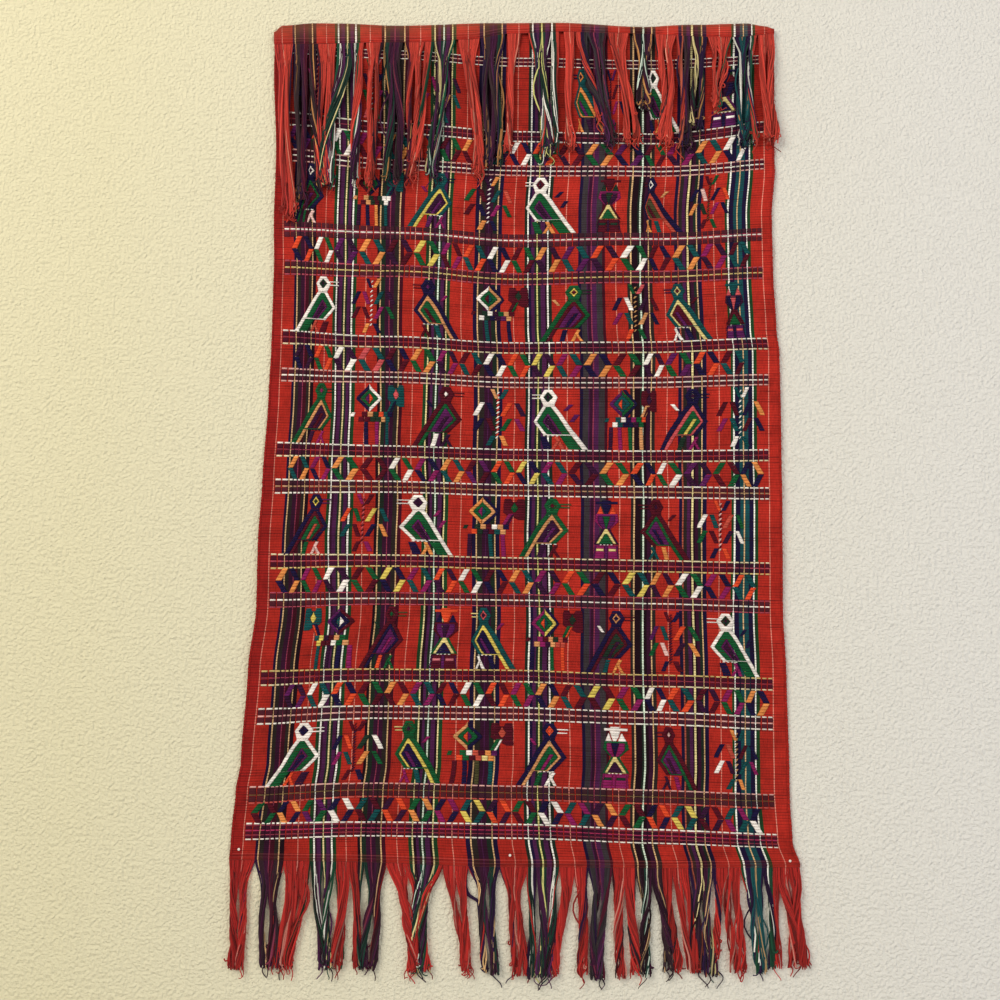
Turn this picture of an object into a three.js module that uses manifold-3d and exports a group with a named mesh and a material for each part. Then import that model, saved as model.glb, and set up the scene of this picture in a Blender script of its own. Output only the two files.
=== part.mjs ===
// A hand-loomed wall hanging: one striped cotton cloth whose top end is folded forward over itself.
// The loose warp ends of both loom ends are left as fringe, and three pins hold the lower edge.
// Millimetres, +Z up, +X to the viewer's right, front towards -Y. The origin is on the top fold.
import * as THREE from "three";
import { mergeVertices } from "three/addons/utils/BufferGeometryUtils.js";
import Module from "manifold-3d";

const CLOTH_THICK = 1.6;
const FOLD_RADIUS = 1.7; // of the middle of the cloth, where it turns over at the top
const NOMINAL_WIDTH = 550; // the width that the edge tables are read across
const NODE_GAP = 0.3; // between a fringe and the woven edge that it grows from
const HEADER_HEIGHT = 3; // of the row of warp ends that joins a fringe's bunches

const CLOTH_COLUMNS = 30;
const PANEL_ROWS = 28;
const FOLD_STEPS = 4;
const FLAP_ROWS = 2;
const EDGE_CROWDING = 0.4; // share by which the columns close up towards the selvedges

// The two selvedges: how far down the cloth, and where its left and right edges lie.
const SELVEDGES = [
  { down: 0, left: -272, right: 271 },
  { down: 43, left: -270, right: 270 },
  { down: 163, left: -264, right: 269 },
  { down: 218, left: -264, right: 265 },
  { down: 280, left: -262, right: 265 },
  { down: 340, left: -262, right: 267 },
  { down: 365, left: -262, right: 270 },
  { down: 411, left: -263, right: 270 },
  { down: 508, left: -266, right: 269 },
  { down: 565, left: -268, right: 268 },
  { down: 634, left: -267, right: 267 },
  { down: 698, left: -273, right: 269 },
  { down: 787, left: -277, right: 270 },
  { down: 816, left: -281, right: 269 },
  { down: 860, left: -284, right: 270 },
  { down: 884, left: -285, right: 276 },
];

// The crest of the top fold, the flap's lower edge and the hem, each as heights across the width.
const TOP_FOLD = [
  { across: -275, height: -13 },
  { across: -262, height: -5 },
  { across: -225, height: -2 },
  { across: -190, height: -2 },
  { across: -140, height: -4 },
  { across: -25, height: 0 },
  { across: 50, height: 1 },
  { across: 128, height: -3 },
  { across: 182, height: 0 },
  { across: 237, height: 2 },
  { across: 262, height: -1 },
  { across: 275, height: -4 },
];
const FLAP_EDGE = [
  { across: -275, height: -28 },
  { across: -240, height: -27 },
  { across: -123, height: -24 },
  { across: -58, height: -20 },
  { across: -9, height: -13 },
  { across: 48, height: -10 },
  { across: 101, height: -11 },
  { across: 215, height: -15 },
  { across: 275, height: -11 },
];
const HEM_EDGE = [
  { across: -275, height: -882 },
  { across: -175, height: -882 },
  { across: -8, height: -886 },
  { across: 81, height: -886 },
  { across: 275, height: -884 },
];

// How the cloth stands off the wall: slow billows, which the fold and the pins draw flat.
const BILLOWS = [
  { depth: 1.1, perWidth: 310, perHeight: 520, shift: 0.3 },
  { depth: 0.8, perWidth: -170, perHeight: 390, shift: 1.4 },
];
const BILLOW_STAND_OFF = 1.9;
const BILLOW_FADE = 60; // distance from the top fold over which the billows grow

// Bunches of the lower fringe: the stretch of hem that each leaves, and the width its end covers.
const LOWER_BUNCHES = [
  { from: -284, to: -262, endFrom: -281, endTo: -263, drop: 94 },
  { from: -258, to: -232, endFrom: -249, endTo: -231, drop: 92 },
  { from: -230, to: -206, endFrom: -236, endTo: -215, drop: 93 },
  { from: -205, to: -181, endFrom: -198, endTo: -181, drop: 96 },
  { from: -180, to: -168, endFrom: -182, endTo: -169, drop: 91 },
  { from: -167, to: -153, endFrom: -161, endTo: -151, drop: 91 },
  { from: -152, to: -131, endFrom: -153, endTo: -137, drop: 95 },
  { from: -130, to: -75, endFrom: -111, endTo: -84, drop: 98 },
  { from: -74, to: -51, endFrom: -58, endTo: -44, drop: 91 },
  { from: -50, to: -19, endFrom: -36, endTo: -18, drop: 97 },
  { from: -19, to: 8, endFrom: -3, endTo: 8, drop: 93 },
  { from: 9, to: 17, endFrom: 5, endTo: 15, drop: 98 },
  { from: 17, to: 40, endFrom: 16, endTo: 35, drop: 97 },
  { from: 40, to: 54, endFrom: 28, endTo: 39, drop: 95 },
  { from: 54, to: 68, endFrom: 59, endTo: 68, drop: 95 },
  { from: 68, to: 91, endFrom: 69, endTo: 83, drop: 99 },
  { from: 92, to: 103, endFrom: 94, endTo: 105, drop: 98 },
  { from: 104, to: 115, endFrom: 108, endTo: 119, drop: 95 },
  { from: 116, to: 130, endFrom: 119, endTo: 130, drop: 96 },
  { from: 130, to: 140, endFrom: 142, endTo: 158, drop: 92 },
  { from: 140, to: 150, endFrom: 149, endTo: 158, drop: 92 },
  { from: 150, to: 166, endFrom: 166, endTo: 179, drop: 93 },
  { from: 166, to: 190, endFrom: 172, endTo: 193, drop: 96 },
  { from: 191, to: 201, endFrom: 188, endTo: 196, drop: 78 },
  { from: 201, to: 217, endFrom: 202, endTo: 223, drop: 93 },
  { from: 217, to: 240, endFrom: 230, endTo: 243, drop: 94 },
  { from: 240, to: 254, endFrom: 244, endTo: 258, drop: 90 },
  { from: 256, to: 275, endFrom: 262, endTo: 288, drop: 89 },
];

// Bunches of the upper fringe, which hang in front of the cloth from the flap's edge.
const UPPER_BUNCHES = [
  { from: -270, to: -250, endFrom: -256, endTo: -242, drop: 196 },
  { from: -249, to: -234, endFrom: -241, endTo: -229, drop: 178 },
  { from: -233, to: -226, endFrom: -221, endTo: -213, drop: 170 },
  { from: -225, to: -204, endFrom: -221, endTo: -205, drop: 165 },
  { from: -202, to: -189, endFrom: -220, endTo: -200, drop: 168 },
  { from: -188, to: -174, endFrom: -184, endTo: -171, drop: 162 },
  { from: -171, to: -152, endFrom: -168, endTo: -157, drop: 165 },
  { from: -151, to: -132, endFrom: -147, endTo: -128, drop: 161 },
  { from: -129, to: -108, endFrom: -126, endTo: -113, drop: 155 },
  { from: -107, to: -98, endFrom: -117, endTo: -109, drop: 138 },
  { from: -97, to: -75, endFrom: -103, endTo: -91, drop: 157 },
  { from: -71, to: -49, endFrom: -52, endTo: -41, drop: 155 },
  { from: -47, to: -21, endFrom: -43, endTo: -24, drop: 150 },
  { from: -18, to: -6, endFrom: -22, endTo: -14, drop: 138 },
  { from: 9, to: 30, endFrom: 20, endTo: 30, drop: 144 },
  { from: 30, to: 37, endFrom: 29, endTo: 37, drop: 138 },
  { from: 43, to: 54, endFrom: 44, endTo: 54, drop: 140 },
  { from: 56, to: 68, endFrom: 76, endTo: 86, drop: 108 },
  { from: 68, to: 89, endFrom: 86, endTo: 97, drop: 133 },
  { from: 90, to: 107, endFrom: 111, endTo: 123, drop: 132 },
  { from: 126, to: 138, endFrom: 124, endTo: 135, drop: 70 },
  { from: 145, to: 161, endFrom: 145, endTo: 160, drop: 129 },
  { from: 167, to: 178, endFrom: 166, endTo: 176, drop: 130 },
  { from: 183, to: 197, endFrom: 178, endTo: 191, drop: 101 },
  { from: 200, to: 220, endFrom: 201, endTo: 213, drop: 70 },
  { from: 231, to: 252, endFrom: 231, endTo: 247, drop: 127 },
  { from: 254, to: 270, endFrom: 257, endTo: 277, drop: 127 },
];

// How a bunch changes down its length, as shares of its drop, its width and its fullness.
const BUNCH_STATIONS = [
  { down: 0, gather: 0, full: 0 },
  { down: 0.15, gather: 0.45, full: 0.6 },
  { down: 0.4, gather: 1, full: 1 },
  { down: 0.88, gather: 1.05, full: 0.85 },
  { down: 1, gather: 1.3, full: 0.4 },
];
const BUNCH_SIDES = 6;
const ROOT_DEPTH = 1;
const BELLY_DEPTH = 4.6;
const UPPER_CLEARANCE = 1.2; // from the upper fringe's bunches to the cloth behind them
const LOWER_CLEARANCE = 0.4; // from the lower fringe's bunches to the wall

// Round-headed pins through the hem.
const PINS = [
  { name: "pin_left", across: -276, height: -872 },
  { name: "pin_middle", across: -9, height: -875 },
  { name: "pin_right", across: 266, height: -878 },
];
const PIN_HEAD_RADIUS = 1.3;
const PIN_HEAD_HEIGHT = 1.2;
const PIN_SHANK_RADIUS = 0.4;
const PIN_LENGTH = 11;
const PIN_POINT_LENGTH = 1.5;
const PIN_HOLE_RADIUS = 0.75;
const PIN_SIDES = 8;
const PIN_DOME_STEPS = 3;

const { lerp, smoothstep } = THREE.MathUtils;

// Reads a table of rows at a place along one of its columns, easing from row to row.
function readTable(table, column, value, place) {
  const last = table.length - 1;
  if (place <= table[0][column]) return table[0][value];
  if (place >= table[last][column]) return table[last][value];
  const next = table.findIndex((row) => row[column] > place);
  const ease = smoothstep(place, table[next - 1][column], table[next][column]);
  return lerp(table[next - 1][value], table[next][value], ease);
}

const heightAt = (edge, across) => readTable(edge, "across", "height", across);

function standOff(x, z) {
  let off = BILLOW_STAND_OFF;
  for (const billow of BILLOWS) {
    const turn = x / billow.perWidth + z / billow.perHeight + billow.shift;
    off += billow.depth * Math.sin(2 * Math.PI * turn);
  }
  return off * smoothstep(-z, 0, BILLOW_FADE);
}

// Where a column of the cloth lies at a height.
function acrossAt(share, z) {
  const left = readTable(SELVEDGES, "down", "left", -z);
  const right = readTable(SELVEDGES, "down", "right", -z);
  return lerp(left, right, share);
}

function columnShare(step) {
  const even = step / CLOTH_COLUMNS;
  const crowded = (1 - Math.cos(Math.PI * even)) / 2;
  return lerp(even, crowded, EDGE_CROWDING);
}

const nominalAcross = (share) => (share - 0.5) * NOMINAL_WIDTH;

// The height of an edge at a true distance across, where the columns lie closer or wider than nominal.
function edgeHeightAt(edge, x) {
  const down = -heightAt(edge, x);
  const left = readTable(SELVEDGES, "down", "left", down);
  const right = readTable(SELVEDGES, "down", "right", down);
  return heightAt(edge, nominalAcross((x - left) / (right - left)));
}

// Moves every point of a plain geometry to the place that a function gives it.
function shaped(geometry, place) {
  const positions = geometry.getAttribute("position");
  const point = new THREE.Vector3();
  for (let i = 0; i < positions.count; i++) {
    point.fromBufferAttribute(positions, i);
    place(point);
    positions.setXYZ(i, point.x, point.y, point.z);
  }
  geometry.deleteAttribute("normal");
  geometry.deleteAttribute("uv");
  return mergeVertices(geometry, 1e-4);
}

// The folded cloth, bent from a thin box: its rows run up the back, over the crest and down the flap.
function clothGeometry() {
  const rows = PANEL_ROWS + FOLD_STEPS + FLAP_ROWS;
  return shaped(new THREE.BoxGeometry(1, 1, 1, CLOTH_COLUMNS, rows, 1), (point) => {
    const share = columnShare(Math.round((point.x + 0.5) * CLOTH_COLUMNS));
    const row = Math.round((point.y + 0.5) * rows);
    const side = Math.sign(point.z) * CLOTH_THICK / 2;
    const across = nominalAcross(share);
    const turnHeight = heightAt(TOP_FOLD, across) - FOLD_RADIUS - CLOTH_THICK / 2;
    const turn = Math.PI * THREE.MathUtils.clamp((row - PANEL_ROWS) / FOLD_STEPS, 0, 1);
    let z = turnHeight;
    if (row < PANEL_ROWS) z = lerp(heightAt(HEM_EDGE, across), turnHeight, row / PANEL_ROWS);
    if (row > PANEL_ROWS + FOLD_STEPS)
      z = lerp(turnHeight, heightAt(FLAP_EDGE, across), (row - PANEL_ROWS - FOLD_STEPS) / FLAP_ROWS);
    const x = acrossAt(share, z);
    const fromTurn = FOLD_RADIUS - side;
    const middle = CLOTH_THICK / 2 + FOLD_RADIUS + standOff(x, z);
    point.set(x, fromTurn * Math.cos(turn) - middle, z + fromTurn * Math.sin(turn));
  });
}

// The row of warp ends under a woven edge, which holds a fringe's bunches together.
function headerGeometry(edge, layerMiddle) {
  return shaped(new THREE.BoxGeometry(1, 1, 1, CLOTH_COLUMNS, 1, 1), (point) => {
    const share = columnShare(Math.round((point.x + 0.5) * CLOTH_COLUMNS));
    const edgeHeight = heightAt(edge, nominalAcross(share)) - NODE_GAP;
    const z = edgeHeight - (point.y < 0 ? HEADER_HEIGHT : 0);
    const x = acrossAt(share, edgeHeight);
    point.set(x, -layerMiddle - standOff(x, edgeHeight) - point.z * CLOTH_THICK, z);
  });
}

// One bunch of warp yarns, bent from a cylinder: flat at the header, then gathered and full.
function bunchGeometry(bunch, edge, rootMiddle, clearance, standsOnCloth) {
  const segments = BUNCH_STATIONS.length - 1;
  const rootX = (bunch.from + bunch.to) / 2;
  const endX = (bunch.endFrom + bunch.endTo) / 2;
  const rootHalf = (bunch.to - bunch.from) / 2;
  const endHalf = (bunch.endTo - bunch.endFrom) / 2;
  const backing = standsOnCloth ? CLOTH_THICK : 0;
  const overlap = NODE_GAP + HEADER_HEIGHT / 3;
  const top = edgeHeightAt(edge, rootX) - overlap;
  return shaped(new THREE.CylinderGeometry(1, 1, 1, BUNCH_SIDES, segments), (point) => {
    const station = BUNCH_STATIONS[Math.round((0.5 - point.y) * segments)];
    const halfWidth = lerp(rootHalf, endHalf, station.gather);
    const x = lerp(rootX, endX, smoothstep(station.down, 0, 1));
    const ownTop = edgeHeightAt(edge, x + point.x * halfWidth) - overlap;
    const z = lerp(ownTop, top, station.full) - station.down * bunch.drop;
    const halfDepth = lerp(ROOT_DEPTH, BELLY_DEPTH, station.full) / 2;
    const middle = Math.max(rootMiddle, backing + clearance + halfDepth);
    const off = standsOnCloth ? standOff(x, z) : standOff(x, top) * (1 - station.full);
    point.set(x + point.x * halfWidth, -middle - off - point.z * halfDepth, z);
  });
}

const wasm = await Module();
wasm.setup();

function solidOf(geometry) {
  const mesh = new wasm.Mesh({
    numProp: 3,
    vertProperties: geometry.getAttribute("position").array,
    triVerts: new Uint32Array(geometry.index.array),
  });
  return new wasm.Manifold(mesh);
}

function geometryOf(solid) {
  const mesh = solid.getMesh();
  const geometry = new THREE.BufferGeometry();
  geometry.setAttribute("position", new THREE.BufferAttribute(mesh.vertProperties, 3));
  geometry.setIndex(new THREE.BufferAttribute(mesh.triVerts, 1));
  return geometry;
}

function combGeometry(bunches, edge, rootMiddle, clearance, standsOnCloth) {
  let comb = solidOf(headerGeometry(edge, rootMiddle));
  for (const bunch of bunches)
    comb = comb.add(solidOf(bunchGeometry(bunch, edge, rootMiddle, clearance, standsOnCloth)));
  return geometryOf(comb);
}

// A pin lies along Y, with its head in front of the cloth and its shank through it.
function pinGeometry() {
  const profile = [];
  for (let step = 0; step <= PIN_DOME_STEPS; step++) {
    const angle = (Math.PI / 2) * (step / PIN_DOME_STEPS);
    const x = PIN_HEAD_RADIUS * Math.sin(angle);
    profile.push(new THREE.Vector2(x, -PIN_HEAD_HEIGHT * (1 - Math.cos(angle))));
  }
  profile.push(new THREE.Vector2(PIN_SHANK_RADIUS, -PIN_HEAD_HEIGHT));
  profile.push(new THREE.Vector2(PIN_SHANK_RADIUS, PIN_POINT_LENGTH - PIN_LENGTH));
  profile.push(new THREE.Vector2(0, -PIN_LENGTH));
  profile.reverse();
  return new THREE.LatheGeometry(profile, PIN_SIDES).rotateX(Math.PI);
}

const dyedCotton = (color) => new THREE.MeshStandardMaterial({ color, roughness: 0.95, metalness: 0 });
const groundCotton = dyedCotton("#b52a20");
const fringeCotton = dyedCotton("#c4402f");
const pinEnamel = new THREE.MeshStandardMaterial({ color: "#f1ece2", roughness: 0.35, metalness: 0 });

function named(name, geometry, material) {
  const mesh = new THREE.Mesh(geometry, material);
  mesh.name = name;
  return mesh;
}

const hanging = new THREE.Group();
const backMiddle = CLOTH_THICK / 2;
const flapMiddle = CLOTH_THICK / 2 + 2 * FOLD_RADIUS;

let cloth = solidOf(clothGeometry());
for (const pin of PINS) {
  const off = standOff(pin.across, pin.height);
  const hole = new THREE.CylinderGeometry(PIN_HOLE_RADIUS, PIN_HOLE_RADIUS, 3 * CLOTH_THICK, PIN_SIDES);
  const cutter = shaped(hole, (point) => {
    point.x += pin.across;
    point.y -= off + backMiddle;
    point.z += pin.height;
  });
  cloth = cloth.subtract(solidOf(cutter));
  const mesh = named(pin.name, pinGeometry(), pinEnamel);
  mesh.position.set(pin.across, -off - CLOTH_THICK - NODE_GAP - PIN_HEAD_HEIGHT, pin.height);
  hanging.add(mesh);
}
hanging.add(named("cloth", geometryOf(cloth), groundCotton));

const lowerFringe = combGeometry(LOWER_BUNCHES, HEM_EDGE, backMiddle, LOWER_CLEARANCE, false);
const upperFringe = combGeometry(UPPER_BUNCHES, FLAP_EDGE, flapMiddle, UPPER_CLEARANCE, true);
hanging.add(named("fringe_bottom", lowerFringe, fringeCotton));
hanging.add(named("fringe_top", upperFringe, fringeCotton));

export default hanging;
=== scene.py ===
"""A brocaded wall hanging: a striped, hand-loomed cotton cloth, folded forward at the top, with fringe."""
import math

import bmesh
import bpy
import numpy as np
from mathutils import Matrix, Vector


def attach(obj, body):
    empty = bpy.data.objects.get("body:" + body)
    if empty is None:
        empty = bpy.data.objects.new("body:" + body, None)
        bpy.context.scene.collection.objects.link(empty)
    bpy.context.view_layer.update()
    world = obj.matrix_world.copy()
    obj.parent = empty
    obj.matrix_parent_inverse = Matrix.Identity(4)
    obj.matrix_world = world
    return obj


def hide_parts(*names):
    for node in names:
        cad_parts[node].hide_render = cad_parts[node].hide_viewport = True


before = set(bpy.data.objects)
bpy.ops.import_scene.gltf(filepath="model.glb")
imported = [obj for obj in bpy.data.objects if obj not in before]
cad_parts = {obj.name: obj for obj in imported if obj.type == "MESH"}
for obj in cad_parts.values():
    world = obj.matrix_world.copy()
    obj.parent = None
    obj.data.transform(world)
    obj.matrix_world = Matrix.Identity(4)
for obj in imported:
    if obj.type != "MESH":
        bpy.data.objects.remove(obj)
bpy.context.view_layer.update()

MM = 0.001


# The view and the light. The hanging is seen from its own lower half, looking a little up, under soft studio
# light. The wall and the floor only set it off: the wall shows from its front alone, so the back of the
# cloth stays in view.
VIEW_DISTANCE = 1.121
VIEW_HEIGHT = -0.6705
VIEW_ACROSS = -0.0206
VIEW_TILT = math.radians(7.52)
VIEW_ROLL = math.radians(0.5)
LENS = 39.6
FLOOR_HEIGHT = -1.45
WALL_BEHIND = 0.0004
WALL_CHANGE = 0.45


def raise_surface(tree, surface, height, strength, distance):
    """Gives a surface a relief from a socket that holds its height."""
    bump = tree.nodes.new("ShaderNodeBump")
    bump.inputs["Strength"].default_value = strength
    bump.inputs["Distance"].default_value = distance
    tree.links.new(height, bump.inputs["Height"])
    tree.links.new(bump.outputs["Normal"], surface.inputs["Normal"])


def pale_surface(name, left_color, right_color, backfacing_clear):
    """A matt paint that goes from one colour to another across the room; on the wall it is painted light."""
    material = bpy.data.materials.new(name)
    material.use_nodes = True
    nodes, links = material.node_tree.nodes, material.node_tree.links
    surface = nodes["Principled BSDF"]
    surface.inputs["Roughness"].default_value = 0.9
    surface.inputs["Specular IOR Level"].default_value = 0.2
    grain = nodes.new("ShaderNodeTexNoise")
    grain.inputs["Scale"].default_value = 300
    grain.inputs["Detail"].default_value = 2
    place = nodes.new("ShaderNodeTexCoord")
    parts = nodes.new("ShaderNodeSeparateXYZ")
    across = nodes.new("ShaderNodeMapRange")
    across.inputs["From Min"].default_value = -WALL_CHANGE
    across.inputs["From Max"].default_value = WALL_CHANGE
    blend = nodes.new("ShaderNodeMix")
    blend.data_type = "RGBA"
    blend.inputs[6].default_value = (*left_color, 1)
    blend.inputs[7].default_value = (*right_color, 1)
    links.new(place.outputs["Object"], parts.inputs[0])
    links.new(parts.outputs["X"], across.inputs["Value"])
    links.new(across.outputs["Result"], blend.inputs[0])
    links.new(blend.outputs[2], surface.inputs["Base Color"])
    links.new(place.outputs["Object"], grain.inputs["Vector"])
    raise_surface(material.node_tree, surface, grain.outputs["Fac"], 0.9, 0.0035)
    if backfacing_clear:
        side = nodes.new("ShaderNodeNewGeometry")
        clear = nodes.new("ShaderNodeBsdfTransparent")
        choice = nodes.new("ShaderNodeMixShader")
        links.new(side.outputs["Backfacing"], choice.inputs["Fac"])
        links.new(surface.outputs["BSDF"], choice.inputs[1])
        links.new(clear.outputs["BSDF"], choice.inputs[2])
        links.new(choice.outputs["Shader"], nodes["Material Output"].inputs["Surface"])
    return material


def stage_plane(name, size, place, turn, material):
    shape = bmesh.new()
    bmesh.ops.create_grid(shape, x_segments=1, y_segments=1, size=size / 2)
    mesh = bpy.data.meshes.new(name)
    shape.to_mesh(mesh)
    shape.free()
    plane = bpy.data.objects.new(name, mesh)
    bpy.context.collection.objects.link(plane)
    plane.location = place
    plane.rotation_euler = turn
    mesh.materials.append(material)
    return plane


# Painted light: the wall's paint is yellower on the left, where the warm key light falls, and neutral on the
# right.
wall_paint = pale_surface("Pale wall", (0.78, 0.73, 0.5), (0.83, 0.812, 0.765), True)
wall = stage_plane("stage_wall", 6, (0, WALL_BEHIND, 0), (math.pi / 2, 0, 0), wall_paint)
wall.visible_shadow = False
wall.visible_diffuse = False
floor_paint = pale_surface("Pale floor", (0.65, 0.633, 0.6), (0.65, 0.633, 0.6), False)
stage_plane("stage_floor", 6, (0, -1.5, FLOOR_HEIGHT), (0, 0, 0), floor_paint)


def soft_light(name, size, place, aim, power, color):
    data = bpy.data.lights.new(name, "AREA")
    data.shape = "SQUARE"
    data.size = size
    data.energy = power
    data.color = color
    light = bpy.data.objects.new(name, data)
    bpy.context.collection.objects.link(light)
    light.location = place
    light.rotation_euler = (Vector(aim) - Vector(place)).to_track_quat("-Z", "Y").to_euler()


soft_light("Key light", 1.6, (-1.7, -1.9, 0.9), (0, 0, -0.45), 55.4, (1.0, 0.93, 0.82))
soft_light("Fill light", 2.2, (1.9, -2.2, -0.3), (0, 0, -0.5), 21.4, (0.92, 0.96, 1.0))
soft_light("Back light", 2.0, (0.4, 2.4, 0.3), (0, 0, -0.5), 37.8, (1.0, 0.98, 0.95))

world = bpy.data.worlds.new("Studio")
bpy.context.scene.world = world
world.use_nodes = True
world.node_tree.nodes["Background"].inputs["Color"].default_value = (0.95, 0.93, 0.9, 1)
world.node_tree.nodes["Background"].inputs["Strength"].default_value = 0.454
bpy.context.scene.view_settings.view_transform = "Standard"

camera_data = bpy.data.cameras.new("Camera")
camera_data.lens = LENS
camera_data.sensor_width = 36
camera = bpy.data.objects.new("Camera", camera_data)
bpy.context.collection.objects.link(camera)
camera.location = (VIEW_ACROSS, -VIEW_DISTANCE, VIEW_HEIGHT)
camera.rotation_euler = (math.pi / 2 + VIEW_TILT, -VIEW_ROLL, 0)
bpy.context.scene.camera = camera


# The cloth. It is one length of warp-faced cotton, woven on a backstrap loom with both loom ends left loose.
# Narrow dark stripes with single light lines stand in a red ground. Its top end is turned forward over
# itself, so the fold, the short flap and the long panel are one sheet.
CLOTH_THICK = 1.6
FOLD_RADIUS = 1.7
NOMINAL_WIDTH = 550
HEM_DOWN = 886
PICK = 2.65
WARP_END = 0.8

SELVEDGES = {
    "down": [0, 43, 163, 218, 280, 340, 365, 411, 508, 565, 634, 698, 787, 816, 860, 884],
    "left": [-272, -270, -264, -264, -262, -262, -262, -263, -266, -268, -267, -273, -277, -281, -284, -285],
    "right": [271, 270, 268, 263.5, 263.5, 265.5, 268, 268, 267, 266, 265, 267, 268, 267.5, 269, 276],
}
TOP_FOLD = {
    "across": [-275, -262, -225, -190, -140, -25, 50, 128, 182, 237, 262, 275],
    "height": [-13, -5, -2, -2, -4, 0, 1, -3, 0, 2, -1, -4],
}
FLAP_EDGE = {
    "across": [-275, -240, -123, -58, -9, 48, 101, 215, 275],
    "height": [-28, -27, -24, -20, -13, -10, -11, -15, -11],
}
HEM_EDGE = {
    "across": [-275, -175, -8, 81, 275],
    "height": [-882, -882, -886, -886, -884],
}

# How far the weft lines rise over their height in the middle, at five places across the cloth.
WEFT_ACROSS = [-275, -137, 0, 137, 275]
WEFT_RISE = {
    46: [16, 9, 0, -0.5, 7],
    129: [19, 9.5, 0, -1.5, 15],
    168: [15.5, 6, 0, -0.3, 10.5],
    245: [10, 7, 0, 2, 9],
    288: [10.5, 7, 0, 3, 9],
    363: [10.5, 5, 0, 2, 7],
    400: [7, 4.5, 0, 1.5, 5.5],
    476: [4.5, 3, 0, 0, 2.3],
    513: [2.5, 3, 0, -0.3, -0.8],
    588: [0, 2, 0, -1.5, -3],
    625: [-2, 0.8, 0, -2.2, -4.7],
    701: [-4.5, 0, 0, -3.5, -6],
    738: [-5, 0.5, 0, -3.2, -7.5],
    815: [-5, 2, 0, -2.7, -6.2],
    852: [-3.3, 1.2, 0, -3.8, -7.8],
}

# How far each warp stripe strays sideways from an even spread, at places across, for eight distances down
# the cloth.
STRAY_ACROSS = [
    -275, -263, -247, -227, -193, -175, -147, -112, -87, -58, -18,
    28, 60, 106, 128, 158, 181, 223, 246, 263, 275,
]
WARP_STRAY = {
    0: [0, -3, -4, -5, -11, -9, -5, -1, 0, -3, -5, -8, -8, -1, 4, 1, 5, 11, 6, 3, 0],
    211: [0, -2, -3, -5, -12, -12, -10, -6, -4, -7, -9, -12, -10, -3, 2, -2, 2, 6, 3, 3, 0],
    331: [0, -2, -1, -5, -13, -13, -10, -9, -7, -11, -12, -13, -12, -4, 1, -2, 1, 5, 2, 3, 0],
    447: [0, -1, 0, -4, -10, -11, -6, -8, -8, -9, -9, -13, -12, -3, 0, -4, 1, 4, 1, 1, 0],
    548: [0, 0, 1, -2, -9, -6, -3, -2, -3, -5, -8, -10, -8, -1, 2, -1, 1, 5, 2, 1, 0],
    676: [0, 0, 1, -1, -5, -5, -3, -3, -2, -4, -5, -6, -7, -1, 1, -2, 2, 2, 0, 1, 0],
    787: [0, -1, 2, -1, -4, -3, -1, -1, -1, -2, -2, -4, -3, 0, 3, -1, 1, 0, -3, -1, 0],
    884: [0, 0, 0, 0, 0, 0, 0, 0, 0, 0, 0, 0, 0, 0, 0, 0, 0, 0, 0, 0, 0],
}

BILLOWS = [
    {"depth": 1.1, "per_width": 310, "per_height": 520, "shift": 0.3},
    {"depth": 0.8, "per_width": -170, "per_height": 390, "shift": 1.4},
]
BILLOW_STAND_OFF = 1.9
BILLOW_FADE = 60

# The warping plan, from the left selvedge to the right: each dye and the width of its stripe in millimetres.
WARP_PLAN = """
deep_red 12, pink 0.8, red 12.2, navy 2.6, tan 1.2, olive 4.6, plum 5.2, rose 1.1, maroon 4.6, olive 4.0,
tan 1.3, black 4.8, red 13.4, pink 0.8, red 11.2, green 3.5, black 0.6, white 1.6, plum 2.2, purple 3.7,
fir 1.9, cream 1.5, fir 2.2, purple 3.4, black 1.3, white 1.7, black 0.6, green 2.9, red 9.5, pink 0.8,
red 11.0, black 2.8, tan 1.3, fir 4.5, plum 4.4, rose 1.0, plum 4.2, olive 4.6, tan 1.3, maroon 3.9,
red 11.2, pink 0.8, red 11.1, green 3.4, cream 1.5, black 2.9, purple 2.8, fir 2.6, mint 1.6, fir 2.2,
purple 4.6, black 2.4, cream 1.5, green 4.1, red 14.4, pink 0.9, red 13.2, navy 4.6, tan 1.4, olive 5.8,
plum 3.9, purple 0.9, plum 4.6, fir 5.0, tan 1.4, navy 4.6, red 14.5, pink 0.9, red 12.2, fir 3.3,
white 1.7, navy 3.1, purple 3.8, fir 2.4, yellow 1.6, fir 3.0, purple 4.9, black 2.0, white 1.7, fir 3.5,
red 15.2, pink 0.9, red 11.4, navy 3.1, smoke 5.2, purple 0.9, plum 3.0, rose 1.1, purple 3.4, purple 1.1,
smoke 5.6, maroon 2.7, red 10.2, pink 0.8, red 10.2, olive 2.6, tan 1.4, black 5.6, fir 1.8, mint 1.6,
black 3.6, plum 5.2, tan 1.4, olive 4.2, red 14.8, pink 0.8, red 10.1, navy 3.1, rust 1.4, olive 3.4,
purple 3.2, black 1.2, cream 1.9, black 1.8, plum 3.2, fir 2.9, tan 1.2, navy 4.2, red 12.5, pink 0.8,
red 11.5, green 2.4, white 1.7, navy 5.6, teal 4.4, tan 1.4, teal 5.4, navy 5.4, white 1.6, green 3.8,
red 12.5, pink 0.9, red 14
"""
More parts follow.
